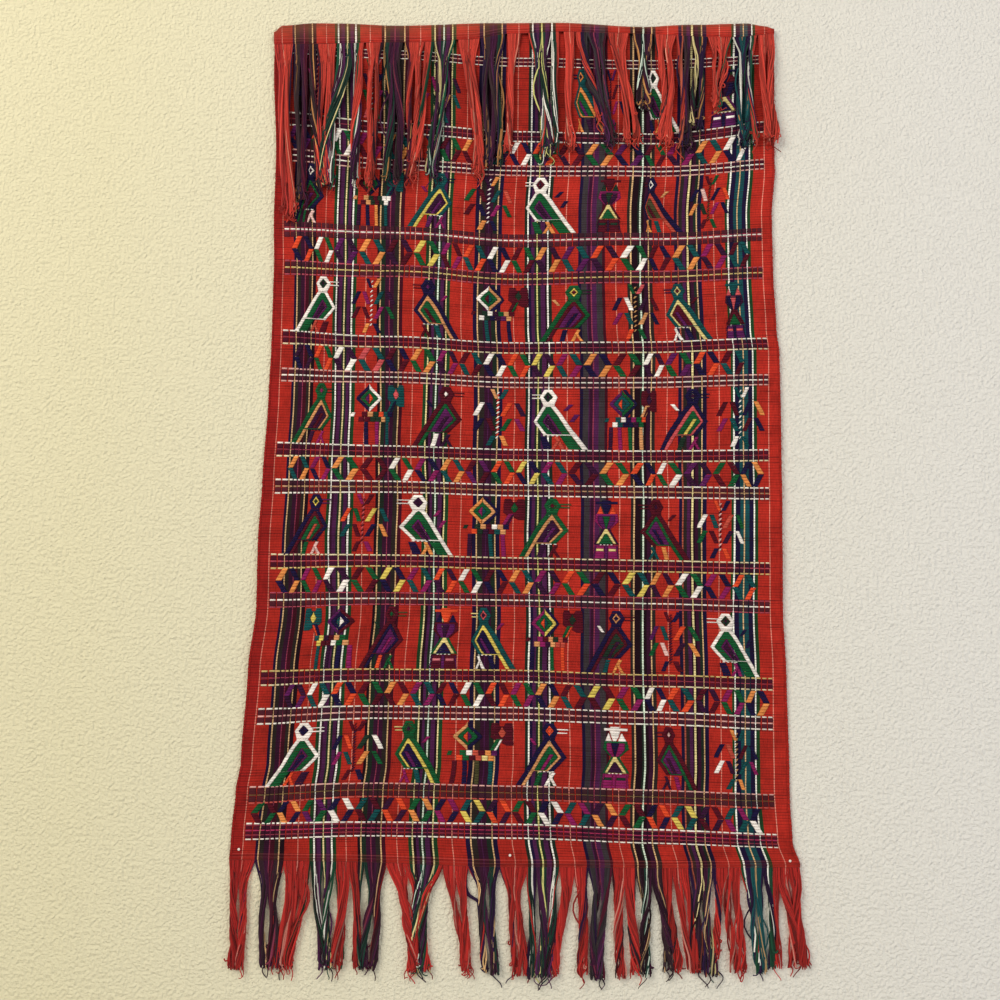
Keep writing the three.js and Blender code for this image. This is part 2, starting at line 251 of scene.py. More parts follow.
DYES = {
    "smoke": (56, 50, 54),
    "deep_red": (153, 32, 28),
    "red": (171, 41, 31),
    "pink": (221, 138, 120),
    "rose": (138, 52, 77),
    "navy": (24, 15, 50),
    "tan": (218, 178, 127),
    "olive": (41, 35, 32),
    "plum": (52, 15, 42),
    "purple": (74, 29, 70),
    "maroon": (64, 11, 28),
    "black": (28, 9, 20),
    "green": (24, 63, 33),
    "fir": (26, 41, 31),
    "white": (248, 246, 234),
    "cream": (230, 213, 152),
    "yellow": (218, 214, 133),
    "mint": (216, 234, 211),
    "rust": (171, 83, 63),
    "teal": (20, 70, 75),
}
BEADED = {"white", "cream", "yellow", "mint", "pink", "tan", "rose", "rust"}
WIDEST_COLUMN = 4.6
ROW_STEP = 6.0
FOLD_STEPS = 8
FLAP_STEPS = 5
FLAP_CLOSE = 12
CLOSE_REACH = 8
CLOSE_STEP = 0.7
EDGE_RIDGES = {"first": 1.6, "second": 4.6, "height": 0.7, "half_width": 0.9}
RIDGE_SPACE = 3.0


def smooth(share):
    """Eases a share from 0 to 1, and holds it there past both ends."""
    share = np.clip(share, 0, 1)
    return share * share * (3 - 2 * share)


def eased(table, column, value, at):
    """Reads a table along one of its columns, easing from row to row."""
    places = np.array(table[column], float)
    values = np.array(table[value], float)
    at = np.clip(at, places[0], places[-1])
    row = np.clip(np.searchsorted(places, at, side="right") - 1, 0, len(places) - 2)
    part = (at - places[row]) / (places[row + 1] - places[row])
    return values[row] + (values[row + 1] - values[row]) * smooth(part)


def stand_off(x, z):
    """How far the back of the cloth hangs from the wall."""
    off = BILLOW_STAND_OFF
    for billow in BILLOWS:
        turn = x / billow["per_width"] + z / billow["per_height"] + billow["shift"]
        off = off + billow["depth"] * np.sin(2 * math.pi * turn)
    return off * smooth(-z / BILLOW_FADE)


def weft_rise(warp, down):
    """How far a place in the cloth lies above its plain distance down the warp."""
    rows = {0: eased(TOP_FOLD, "across", "height", warp)}
    for row_down, rises in WEFT_RISE.items():
        rows[row_down] = eased({"across": WEFT_ACROSS, "rise": rises}, "across", "rise", warp)
    rows[HEM_DOWN] = eased(HEM_EDGE, "across", "height", warp) + HEM_DOWN
    return between_rows(rows, down)


def between_rows(rows, down):
    """Blends rows of values, each at its distance down the warp, easing from row to row."""
    places = list(rows)
    blend = rows[places[0]] + 0 * down
    for start, end in zip(places, places[1:]):
        blend = blend + (rows[end] - rows[start]) * smooth((down - start) / (end - start))
    return blend


def warp_stray(warp, z):
    rows = {down: np.interp(warp, STRAY_ACROSS, stray) for down, stray in WARP_STRAY.items()}
    return between_rows(rows, -z)


def across_at(warp, z):
    left = eased(SELVEDGES, "down", "left", -z)
    right = eased(SELVEDGES, "down", "right", -z)
    return left + (right - left) * ((warp + warp_stray(warp, z)) / NOMINAL_WIDTH + 0.5)


def on_panel(warp, down, lift):
    """Points in metres that stand off the panel's front face by a lift in millimetres."""
    z = weft_rise(warp, down) - down
    x = across_at(warp, z)
    y = -stand_off(x, z) - CLOTH_THICK - lift
    return np.stack([x, y, z], axis=-1) * MM


def linear(color):
    """A dye's colour, given as it looks on a screen, as the light that it reflects."""
    share = np.array(color) / 255
    return np.where(share <= 0.04045, share / 12.92, ((share + 0.055) / 1.055) ** 2.4)


stripes = [entry.split() for entry in WARP_PLAN.replace("\n", " ").split(",")]
plan_width = sum(float(width) for _, width in stripes)
column_edges = [-NOMINAL_WIDTH / 2]
column_dyes = []
for dye, width in stripes:
    stripe_width = float(width) * NOMINAL_WIDTH / plan_width
    pieces = math.ceil(stripe_width / WIDEST_COLUMN)
    for _ in range(pieces):
        column_edges.append(column_edges[-1] + stripe_width / pieces)
        column_dyes.append(dye)
column_edges = np.array(column_edges)


def ridge_lift(from_edge):
    """The two thick picks beside a woven end, at a distance from it."""
    lift = 0
    for pick in ("first", "second"):
        lift = lift + np.exp(-(((from_edge - EDGE_RIDGES[pick]) / EDGE_RIDGES["half_width"]) ** 2))
    return lift * EDGE_RIDGES["height"]


def cloth_rows():
    """Distances down the warp from the hem up to the fold's start, close together by the hem's ridges."""
    close = np.arange(HEM_DOWN, HEM_DOWN - CLOSE_REACH, -CLOSE_STEP)
    turn_down = FOLD_RADIUS + CLOTH_THICK / 2
    open_rows = np.linspace(close[-1] - 1, turn_down, int((close[-1] - turn_down) / ROW_STEP))
    return np.concatenate([close, open_rows])


panel_rows = cloth_rows()
row_count = len(panel_rows) - 1 + FOLD_STEPS + FLAP_STEPS + FLAP_CLOSE
column_count = len(column_dyes)
grid = bmesh.new()
bmesh.ops.create_grid(grid, x_segments=column_count, y_segments=row_count, size=0.5)
cloth_mesh = bpy.data.meshes.new("cloth_sheet")
grid.to_mesh(cloth_mesh)
grid.free()

flat = np.empty(len(cloth_mesh.vertices) * 3)
cloth_mesh.vertices.foreach_get("co", flat)
flat = flat.reshape(-1, 3)
column = np.rint((flat[:, 0] + 0.5) * column_count).astype(int)
row = np.rint((flat[:, 1] + 0.5) * row_count).astype(int)
warp = column_edges[column]
last_panel = len(panel_rows) - 1
turn = np.clip((row - last_panel) / FOLD_STEPS, 0, 1) * math.pi
down = panel_rows[np.minimum(row, last_panel)]
panel_z = weft_rise(warp, down) - down
flap_length = panel_z - eased(FLAP_EDGE, "across", "height", warp)
past_fold = row - last_panel - FOLD_STEPS
flap_share = np.clip(past_fold / FLAP_STEPS, 0, 1)
close_share = CLOSE_REACH / flap_length
share_down = np.where(
    past_fold <= FLAP_STEPS,
    flap_share * np.clip(1 - close_share, 0.15, 1),
    1 - (1 - (past_fold - FLAP_STEPS) / FLAP_CLOSE) * np.clip(close_share, 0, 0.85),
)
on_flap = past_fold > 0
z = np.where(on_flap, panel_z - flap_length * share_down, panel_z)
x = across_at(warp, z)
from_end = np.where(on_flap, flap_length * (1 - share_down), HEM_DOWN - down)
middle = CLOTH_THICK / 2 + FOLD_RADIUS + stand_off(x, z)
y = FOLD_RADIUS * np.cos(turn) - middle - ridge_lift(from_end)
z = z + FOLD_RADIUS * np.sin(turn)
cloth_mesh.vertices.foreach_set("co", (np.stack([x, y, z], axis=-1) * MM).ravel())

weave_down = down - FOLD_RADIUS * turn - np.where(on_flap, flap_length * share_down, 0)
weave = cloth_mesh.attributes.new("weave", "FLOAT_VECTOR", "POINT")
weave.data.foreach_set("vector", np.stack([warp, weave_down, from_end], axis=-1).ravel())


def paint_corners(mesh, face_colors):
    """Gives each four-sided face of a mesh its dye, as a colour on its corners."""
    colors = np.concatenate([face_colors, np.ones((len(face_colors), 1))], axis=1)
    layer = mesh.color_attributes.new("dye", "FLOAT_COLOR", "CORNER")
    layer.data.foreach_set("color", np.repeat(colors, 4, axis=0).ravel())


corner_vertices = np.empty(len(cloth_mesh.loops), int)
cloth_mesh.loops.foreach_get("vertex_index", corner_vertices)
face_columns = column[corner_vertices].reshape(-1, 4).min(axis=1)
face_dyes = [column_dyes[index] for index in face_columns]
paint_corners(cloth_mesh, np.array([linear(DYES[dye]) for dye in face_dyes]))
beads = cloth_mesh.attributes.new("bead", "FLOAT", "FACE")
beads.data.foreach_set("value", np.array([float(dye in BEADED) for dye in face_dyes]))


def new_group(name, inputs, outputs):
    """A shader node group with named sockets: each input and output is (name, kind, default)."""
    group = bpy.data.node_groups.new(name, "ShaderNodeTree")
    for socket_name, kind, default in inputs:
        socket = group.interface.new_socket(name=socket_name, in_out="INPUT", socket_type=kind)
        if default is not None:
            socket.default_value = default
    for socket_name, kind in outputs:
        group.interface.new_socket(name=socket_name, in_out="OUTPUT", socket_type=kind)
    entry = group.nodes.new("NodeGroupInput")
    leave = group.nodes.new("NodeGroupOutput")
    return group, entry, leave


def math_node(tree, operation, first, second=None, clamp=False):
    """Adds a Math node whose inputs are numbers or sockets, and gives back its output."""
    node = tree.nodes.new("ShaderNodeMath")
    node.operation = operation
    node.use_clamp = clamp
    for socket, value in zip(node.inputs, (first, second)):
        if value is None:
            continue
        if isinstance(value, (int, float)):
            socket.default_value = value
        else:
            tree.links.new(value, socket)
    return node.outputs[0]


def mix_color(tree, share, first, second, blend="MIX"):
    """Adds a colour Mix node whose inputs are values or sockets, and gives back its output."""
    node = tree.nodes.new("ShaderNodeMix")
    node.data_type = "RGBA"
    node.blend_type = blend
    node.clamp_factor = True
    for socket, value in ((node.inputs[0], share), (node.inputs[6], first), (node.inputs[7], second)):
        if isinstance(value, bpy.types.NodeSocket):
            tree.links.new(value, socket)
        else:
            socket.default_value = value
    return node.outputs[2]


def noise_value(tree, vector, scale, stretch, detail=2.0):
    """Adds a Noise Texture on a stretched copy of a vector, and gives back its value."""
    place = tree.nodes.new("ShaderNodeMapping")
    place.inputs["Scale"].default_value = stretch
    noise = tree.nodes.new("ShaderNodeTexNoise")
    noise.inputs["Scale"].default_value = scale
    noise.inputs["Detail"].default_value = detail
    tree.links.new(vector, place.inputs["Vector"])
    tree.links.new(place.outputs["Vector"], noise.inputs["Vector"])
    return noise.outputs["Fac"]


def scaled_color(tree, color, level):
    """Makes a colour darker or lighter by a level, where 1 leaves it as it is."""
    scaled = tree.nodes.new("ShaderNodeVectorMath")
    scaled.operation = "SCALE"
    tree.links.new(color, scaled.inputs[0])
    tree.links.new(level, scaled.inputs["Scale"])
    return scaled.outputs["Vector"]


# Dyed cotton is never one even colour: the group varies it from yarn to yarn and fades it a little in
# patches.
cotton_group, entry, leave = new_group(
    "Uneven cotton dye",
    [
        ("Dye", "NodeSocketColor", None),
        ("Along", "NodeSocketVector", None),
        ("Unevenness", "NodeSocketFloat", 0.3),
    ],
    [("Color", "NodeSocketColor")],
)
yarn_noise = noise_value(cotton_group, entry.outputs["Along"], 1.0, (1.4, 1.4, 0.12), 3.0)
patch_noise = noise_value(cotton_group, entry.outputs["Along"], 1.0, (0.035, 0.035, 0.035), 2.0)
swing = math_node(cotton_group, "SUBTRACT", math_node(cotton_group, "ADD", yarn_noise, patch_noise), 1.0)
gain = math_node(cotton_group, "MULTIPLY", swing, entry.outputs["Unevenness"])
level = math_node(cotton_group, "ADD", math_node(cotton_group, "MULTIPLY", gain, 2.0), 1.0)
cotton_group.links.new(scaled_color(cotton_group, entry.outputs["Dye"], level), leave.inputs["Color"])


def attribute_socket(tree, name, output):
    node = tree.nodes.new("ShaderNodeAttribute")
    node.attribute_name = name
    return node.outputs[output]


def cotton_surface(name, roughness, sheen):
    material = bpy.data.materials.new(name)
    material.use_nodes = True
    surface = material.node_tree.nodes["Principled BSDF"]
    surface.inputs["Roughness"].default_value = roughness
    surface.inputs["Specular IOR Level"].default_value = 0.1
    surface.inputs["Sheen Weight"].default_value = sheen
    surface.inputs["Sheen Roughness"].default_value = 0.5
    return material, surface


def ripple(tree, place):
    """One ridge for each whole step of a place: 1 on its top and 0 in the grooves beside it."""
    return math_node(tree, "ABSOLUTE", math_node(tree, "SINE", math_node(tree, "MULTIPLY", place, math.pi)))


def weave_parts(tree):
    """The place in the weave that a piece carries, whole and as its three parts."""
    place = attribute_socket(tree, "weave", "Vector")
    parts = tree.nodes.new("ShaderNodeSeparateXYZ")
    tree.links.new(place, parts.inputs[0])
    return place, parts.outputs["X"], parts.outputs["Y"], parts.outputs["Z"]


def vector_of(tree, **parts):
    """Joins sockets, each named by its axis, into one vector."""
    vector = tree.nodes.new("ShaderNodeCombineXYZ")
    for axis, part in parts.items():
        tree.links.new(part, vector.inputs[axis])
    return vector.outputs["Vector"]


def dyed_cotton(tree, dye, along, unevenness):
    """Places the cotton group in a material, and gives back its colour."""
    dyed = tree.nodes.new("ShaderNodeGroup")
    dyed.node_tree = cotton_group
    dyed.inputs["Unevenness"].default_value = unevenness
    tree.links.new(dye, dyed.inputs["Dye"])
    tree.links.new(along, dyed.inputs["Along"])
    return dyed.outputs["Color"]


def tinted(tree, color, where, tint):
    """Mixes a tint into a colour by its own share, as far as a mask says."""
    return mix_color(tree, math_node(tree, "MULTIPLY", where, tint["share"]), color, tint["color"])


# The woven ground: warp yarns lie side by side, and each pick under them makes one low rib across. The ground
# is a little brighter to the right and towards the top. Painted shade darkens it under the upper fringe, in
# the grooves between ribs and at the foot of the thick picks by each woven end; painted highlights lighten
# those picks' tops and brown the fold and the top of the flap. Lengths are in millimetres.
GROUND_SLOPE = {"by_across": 0.0003, "by_down": -0.00022, "level": 1.12}
FRINGE_SHADE_PAINT = {"down": 175, "blend": 60, "least_to_end": 30, "darker": 0.25}
RIB_GROOVE_SHADE = {"share": 0.68, "color": (0.02, 0.004, 0.006, 1)}
BEAD_GAP = {"below": 0.34, "share": 0.4, "color": (0.07, 0.02, 0.02, 1)}
RIDGE_SHIFT = 1.4
RIDGES_REACH = 7.6
RIDGE_FOOT_SHADE = {"share": 0.3, "color": (0.12, 0.01, 0.01, 1)}
RIDGE_TOP_HIGHLIGHT = {"above": 0.86, "share": 0.18, "color": (0.6, 0.14, 0.125, 1)}
FOLD_HIGHLIGHT_PAINT = {"blend": 8, "from_end": 20, "share": 0.3, "color": (0.42, 0.15, 0.08, 1)}
END_RELIEF = 0.3

ground_cotton, ground_surface = cotton_surface("Warp-faced cotton", 0.92, 0.03)
tree = ground_cotton.node_tree
weave_place, across_warps, down_warp, to_end = weave_parts(tree)
wobble = noise_value(tree, weave_place, 1.0, (0.02, 0.15, 1), 1.0)
rib = ripple(tree, math_node(tree, "ADD", math_node(tree, "DIVIDE", down_warp, PICK), wobble))
end = ripple(tree, math_node(tree, "DIVIDE", across_warps, WARP_END))

# The ground is brighter to the right and towards the top, and darker further down.
across_level = math_node(tree, "MULTIPLY", across_warps, GROUND_SLOPE["by_across"])
down_level = math_node(tree, "MULTIPLY", down_warp, GROUND_SLOPE["by_down"])
level = math_node(tree, "ADD", math_node(tree, "ADD", across_level, down_level), GROUND_SLOPE["level"])
# Painted shade: the ground is darker under the upper fringe, fully down to 115 mm and blending out by 175 mm,
# though not on the flap.
above = math_node(tree, "SUBTRACT", FRINGE_SHADE_PAINT["down"], down_warp)
above = math_node(tree, "DIVIDE", above, FRINGE_SHADE_PAINT["blend"], True)
on_panel_only = math_node(tree, "GREATER_THAN", to_end, FRINGE_SHADE_PAINT["least_to_end"])
fringe_shade_mask = math_node(tree, "MULTIPLY", above, on_panel_only)
darker = math_node(tree, "MULTIPLY", fringe_shade_mask, FRINGE_SHADE_PAINT["darker"])
dye = scaled_color(tree, attribute_socket(tree, "dye", "Color"), math_node(tree, "SUBTRACT", level, darker))
shade = dyed_cotton(tree, dye, vector_of(tree, X=across_warps, Z=down_warp), 0.6)

# Painted shade: the grooves between the ribs are mixed towards near black.
groove_shade = math_node(tree, "POWER", math_node(tree, "SUBTRACT", 1.0, rib), 3.0)
shade = tinted(tree, shade, groove_shade, RIB_GROOVE_SHADE)
bead_gap = math_node(tree, "LESS_THAN", rib, BEAD_GAP["below"])
bead_gap = math_node(tree, "MULTIPLY", bead_gap, attribute_socket(tree, "bead", "Fac"))
shade = tinted(tree, shade, bead_gap, BEAD_GAP)

# Painted shade at the foot of each thick pick beside a woven end, and a painted highlight along its top.
ridges = ripple(tree, math_node(tree, "DIVIDE", math_node(tree, "ADD", to_end, RIDGE_SHIFT), RIDGE_SPACE))
by_end = math_node(tree, "LESS_THAN", to_end, RIDGES_REACH)
ridge_foot_shade = math_node(tree, "POWER", math_node(tree, "SUBTRACT", 1.0, ridges), 2.0)
shade = tinted(tree, shade, math_node(tree, "MULTIPLY", ridge_foot_shade, by_end), RIDGE_FOOT_SHADE)
ridge_top_highlight = math_node(tree, "GREATER_THAN", ridges, RIDGE_TOP_HIGHLIGHT["above"])
shade = tinted(tree, shade, math_node(tree, "MULTIPLY", ridge_top_highlight, by_end), RIDGE_TOP_HIGHLIGHT)

# Painted highlight: the fold and the top of the flap, which light from above grazes, are mixed towards a
# lighter brown, less so near the flap's edge and not below 8 mm down the panel.
fold_highlight = math_node(tree, "SUBTRACT", FOLD_HIGHLIGHT_PAINT["blend"], down_warp)
fold_highlight = math_node(tree, "DIVIDE", fold_highlight, FOLD_HIGHLIGHT_PAINT["blend"], True)
off_end = math_node(tree, "DIVIDE", to_end, FOLD_HIGHLIGHT_PAINT["from_end"], True)
shade = tinted(tree, shade, math_node(tree, "MULTIPLY", fold_highlight, off_end), FOLD_HIGHLIGHT_PAINT)
tree.links.new(shade, ground_surface.inputs["Base Color"])
relief = math_node(tree, "ADD", rib, math_node(tree, "MULTIPLY", end, END_RELIEF))
raise_surface(tree, ground_surface, relief, 0.6, 0.0004)

cloth = bpy.data.objects.new("cloth_sheet", cloth_mesh)
bpy.context.collection.objects.link(cloth)
cloth_mesh.materials.append(ground_cotton)
cloth_mesh.shade_smooth()
body = cloth.modifiers.new("Thickness", "SOLIDIFY")
body.thickness = CLOTH_THICK * MM
body.offset = 0
body.use_even_offset = False
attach(cloth, "root")
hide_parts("cloth")


# The brocade's first form: the bands. Extra cotton weft was laid in by hand between the ground picks, over
# some warps and under others. Each band is a few rows of short floats, with the single light warps passing
# over between them.
FLOAT_RISE = 0.8
FLOAT_SINK = 0.25
FLOAT_EDGE = 0.55
CELL = 6.2
BAND_FROM = -262
BAND_TO = 260.4
BAND_FAN = 0.25
FAN_FROM = -150
FAN_REACH = 110
LEAST_CELL = 4.2
THIN_SHOWS = 0.08
ROW_KINDS = {
    "dash": {"height": 1.35, "gap": 1.5, "lift": 0.9},
    "line": {"height": 1.0, "gap": 0.8, "lift": 0.65},
}
CELL_ROW = {"gap": 0.85, "lift": 0.5}
ROW_SPACE = 0.35
# Each band by its distance down the cloth: its rows from the top, as a kind or a row of cells' height, then
# a dye.
BANDS = {
    46: "line white, 3 wine, line rose_white, 3 wine, line white",
    130.6: "dash white, 3.6 wine, line dusk, 3.6 wine, dash white",
    168.6: "dash rose_white, 3.1 wine, dash white, 3.1 wine, dash rose_white",
    245.7: "4.6 moss, line dusk, dash white, line dusk, 4.6 moss",
    288: "dash rose, 3.9 moss, dash straw, 3.9 moss, dash rose",
    362.8: "dash white, 3.6 wine, line dusk, 3.6 wine, dash cream",
    400: "dash rose_white, 3.1 moss, dash white, 3.1 moss, dash rose_white",
    476.3: "dash white, 3.6 wine, line dusk, 3.6 wine, dash cream",
    513.2: "dash white, 3.5 moss, dash tan, 3.5 moss, dash white",
    588: "dash cream, 3.7 wine, line rose, 3.7 wine, dash straw",
    625.3: "line rose, 3.9 moss, dash white, 3.9 moss, line rose",
    701: "dash straw, 3.7 wine, line dusk, 3.7 wine, dash cream",
    738.3: "dash white, 3.9 moss, dash rose_white, 3.9 moss, dash white",
    815.3: "dash rose_white, 4.5 shadow, line drab, 4.5 shadow, dash brick",
    852.2: "dash white, line dusk, 2.4 wine, line magenta, 2.0 wine, line dusk, 2.0 wine, dash white",
}
BAND_DYES = {
    "white": (250, 244, 232),
    "cream": (232, 218, 179),
    "rose_white": (224, 172, 164),
    "straw": (218, 193, 125),
    "tan": (184, 144, 109),
    "drab": (110, 85, 57),
    "brick": (193, 85, 77),
    "rose": (179, 77, 96),
    "dusk": (144, 55, 77),
    "magenta": (180, 52, 96),
    "wine": (55, 11, 35),
    "moss": (61, 26, 39),
    "shadow": (57, 26, 35),
}
THIN_DYES = {"wine", "moss", "shadow"}

block = bmesh.new()
bmesh.ops.create_cube(block, size=2)
front_edges = [edge for edge in block.edges if all(vertex.co.z > 0 for vertex in edge.verts)]
bmesh.ops.bevel(block, geom=front_edges, offset=0.5, affect="EDGES", segments=1, profile=0.5, material=-1)
bmesh.ops.recalc_face_normals(block, faces=block.faces)
float_points = np.array([vertex.co[:] for vertex in block.verts])
float_faces = np.array([[vertex.index for vertex in face.verts] for face in block.faces])
# Painted shade: each float's colour is darker on its sloped and upright sides, most at its two ends, as a
# shadow round its edges.
float_shade = np.array([1 - 0.5 * abs(face.normal.x) - 0.2 * abs(face.normal.y) for face in block.faces])
block.free()


def joined_mesh(name, points, faces):
    """A smooth mesh from an array of points, in metres, and a list of faces."""
    mesh = bpy.data.meshes.new(name)
    mesh.from_pydata(points.tolist(), [], faces)
    mesh.shade_smooth()
    return mesh


def woven_floats(name, floats, colors, seed):
    """Joins floats into one mesh. Each is (top left, top right, low left, low right, top, low, lift)."""
    chance = np.random.default_rng(seed)
    sizes = np.array(floats, float)
    sizes[:, :4] += chance.normal(0, 0.12, (len(sizes), 4))
    sizes[:, 4:6] += chance.normal(0, 0.06, (len(sizes), 1))
    top_left, top_right, low_left, low_right, top, low, lift = (measure[:, None] for measure in sizes.T)
    lift = lift * chance.uniform(0.82, 1.18, lift.shape)
    across, along, out = float_points.T
    inner = np.abs(across) < 0.9
    edge_down = np.where(inner, np.minimum(FLOAT_EDGE, 0.4 * (low - top)), 0)
    down = np.where(along > 0, top + edge_down, low - edge_down)
    share = (down - top) / (low - top)
    left = top_left + (low_left - top_left) * share
    right = top_right + (low_right - top_right) * share
    edge_across = np.where(inner, np.minimum(FLOAT_EDGE, 0.4 * (right - left)), 0)
    warp = np.where(across < 0, left + edge_across, right - edge_across)
    height = np.where(inner, lift, np.where(out > 0, 0.4 * lift, -FLOAT_SINK))
    points = on_panel(warp, down, height)
    faces = float_faces[None] + np.arange(len(sizes))[:, None, None] * len(float_points)
    mesh = joined_mesh(name, points.reshape(-1, 3), faces.reshape(-1, 4).tolist())
    tones = np.array(colors) * chance.uniform(0.88, 1.1, (len(colors), 1))
    # Each float is painted its own tone times float_shade, the painted shade on its sides.
    paint_corners(mesh, (tones[:, None] * float_shade[:, None]).reshape(-1, 3))
    own = np.broadcast_to(chance.uniform(0, 90, (len(sizes), 1)), warp.shape)
    yarn_place = mesh.attributes.new("weave", "FLOAT_VECTOR", "POINT")
    yarn_place.data.foreach_set("vector", np.stack([warp, down, own], axis=-1).ravel())
    piece = bpy.data.objects.new(name, mesh)
    bpy.context.collection.objects.link(piece)
    mesh.materials.append(brocade_cotton)
    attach(piece, "root")
    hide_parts("cloth")
    return piece


# Brocade yarn is soft and thick, laid two or three strands together, so that each float shows its strands
# along it.
brocade_cotton, brocade_surface = cotton_surface("Brocade cotton", 0.85, 0.05)
tree = brocade_cotton.node_tree
_, across_warps, down_warp, own_place = weave_parts(tree)
along = vector_of(tree, X=down_warp, Y=own_place, Z=across_warps)
shade = dyed_cotton(tree, attribute_socket(tree, "dye", "Color"), along, 0.42)
tree.links.new(shade, brocade_surface.inputs["Base Color"])
strands = noise_value(tree, along, 1.0, (2.2, 1.0, 0.25), 2.0)
raise_surface(tree, brocade_surface, strands, 0.9, 0.0004)

light_lines = []
for index, dye in enumerate(column_dyes):
    if dye in BEADED:
        light_lines.append((column_edges[index] + column_edges[index + 1]) / 2)
tie_places = [BAND_FROM]
for place in light_lines + [BAND_TO]:
    if place - tie_places[-1] > LEAST_CELL:
        cells = max(1, round((place - tie_places[-1]) / CELL))
        tie_places.extend(np.linspace(tie_places[-1], place, cells + 1)[1:])
tie_places = np.array(tie_places)


def column_at(warp):
    """The number of the warp column at a place across the cloth."""
    return np.clip(np.searchsorted(column_edges, warp) - 1, 0, len(column_dyes) - 1)


band_floats = []
band_colors = []
band_edges = []
for middle, plan in BANDS.items():
    rows = []
    for entry in plan.split(","):
        kind, dye = entry.split()
        rows.append((ROW_KINDS.get(kind) or {**CELL_ROW, "height": float(kind)}, dye))
    height = sum(make["height"] for make, _ in rows) + ROW_SPACE * (len(rows) - 1)
    band_edges.append((middle - height / 2, middle + height / 2))
    top = -height / 2
    for make, dye in rows:
        low = top + make["height"]
        for left, right in zip(tie_places, tie_places[1:]):
            start, stop = left + make["gap"] / 2, right - make["gap"] / 2
            fan = 1 + BAND_FAN * min(max((FAN_FROM - start) / FAN_REACH, 0), 1)
            heights = (middle + top * fan, middle + low * fan)
            band_floats.append((start, stop, start, stop, *heights, make["lift"]))
            color = linear(BAND_DYES[dye])
            if dye in THIN_DYES:
                warp_dye = DYES[column_dyes[column_at((left + right) / 2)]]
                color = (1 - THIN_SHOWS) * color + THIN_SHOWS * linear(warp_dye)
            band_colors.append(color)
        top = low + ROW_SPACE
bands = woven_floats("brocade_bands", band_floats, band_colors, 11)


# The brocade's second form: the rows of diamonds between two bands. Each bar is four picks of floats, each
# pick set over by the same step, so its sides slant. A light dye runs one way and a dark dye the other.
BAR_WIDE = 6.2
BAR_PICKS = 4
DIAMOND_REST = 0.4
BAND_CLEAR = 0.5
HALF_GAP = 0.3
PICK_CLEAR = 0.08
LAST_WHOLE = 247
# Each row: the band above it, the middles of its first and last diamonds, and the dyes of its rising and
# falling bars.
DIAMOND_ROWS = [
    (1, -245, 226,
     "purple flame white magenta orange green maroon orange plum white flame maroon orange purple "
     "maroon magenta orange white",
     "navy green green maroon teal navy green maroon teal navy green plum green navy green plum teal "
     "navy"),
    (3, -239.7, 234.1,
     "flame white purple orange maroon yellow magenta flame white maroon orange purple flame white "
     "maroon orange magenta maroon",
     "navy green plum teal plum green maroon teal navy green plum teal plum green navy teal plum teal"),
    (5, -236.7, 220.6,
     "plum flame white rose maroon orange magenta maroon white flame yellow magenta orange maroon "
     "white purple flame maroon",
     "navy green plum teal navy green plum teal navy green plum teal navy green plum green navy teal"),
    (7, -235.6, 241.4,
     "orange magenta orange maroon white magenta orange maroon flame yellow magenta maroon orange "
     "flame white purple green navy",
     "teal navy green maroon green navy teal purple green navy teal plum green navy green plum maroon "
     "orange"),
    (9, -242.6, 233,
     "orange magenta white maroon yellow magenta flame white maroon orange magenta flame maroon yellow "
     "orange white magenta flame",
     "navy green plum green navy teal plum green navy teal plum green navy teal plum green navy teal"),
    (11, -224.5, 245,
     "purple white flame maroon orange magenta maroon white flame magenta orange maroon yellow magenta "
     "white flame maroon magenta orange",
     "plum teal navy green maroon teal navy green maroon green navy teal maroon green navy teal plum "
     "green navy"),
    (13, -245.6, 247.4,
     "green navy green navy teal plum green navy teal plum green navy teal plum green navy teal plum "
     "teal navy",
     "maroon orange purple white maroon flame orange magenta yellow flame maroon white magenta orange "
     "maroon flame yellow maroon magenta white"),
]
BROCADE_DYES = {
    "red": (204, 48, 41),
    "white": (250, 242, 234),
    "purple": (90, 26, 85),
    "orange": (228, 144, 77),
    "maroon": (83, 13, 31),
    "yellow": (223, 199, 96),
    "magenta": (138, 29, 90),
    "flame": (226, 77, 42),
    "navy": (26, 17, 59),
    "green": (18, 85, 46),
    "plum": (53, 17, 50),
    "teal": (15, 75, 77),
    "pink": (217, 120, 129),
    "tan": (197, 147, 96),
    "olive": (72, 68, 41),
    "rose": (202, 84, 88),
    "straw": (224, 205, 135),
    "peach": (214, 151, 99),
    "brick": (190, 77, 61),
    "rose_white": (234, 193, 185),
    "fir": (29, 50, 37),
    "black": (31, 17, 22),
}


def add_float(floats, colors, shape, dye, lift=FLOAT_RISE):
    floats.append((*shape, lift))
    colors.append(linear(BROCADE_DYES[dye]))


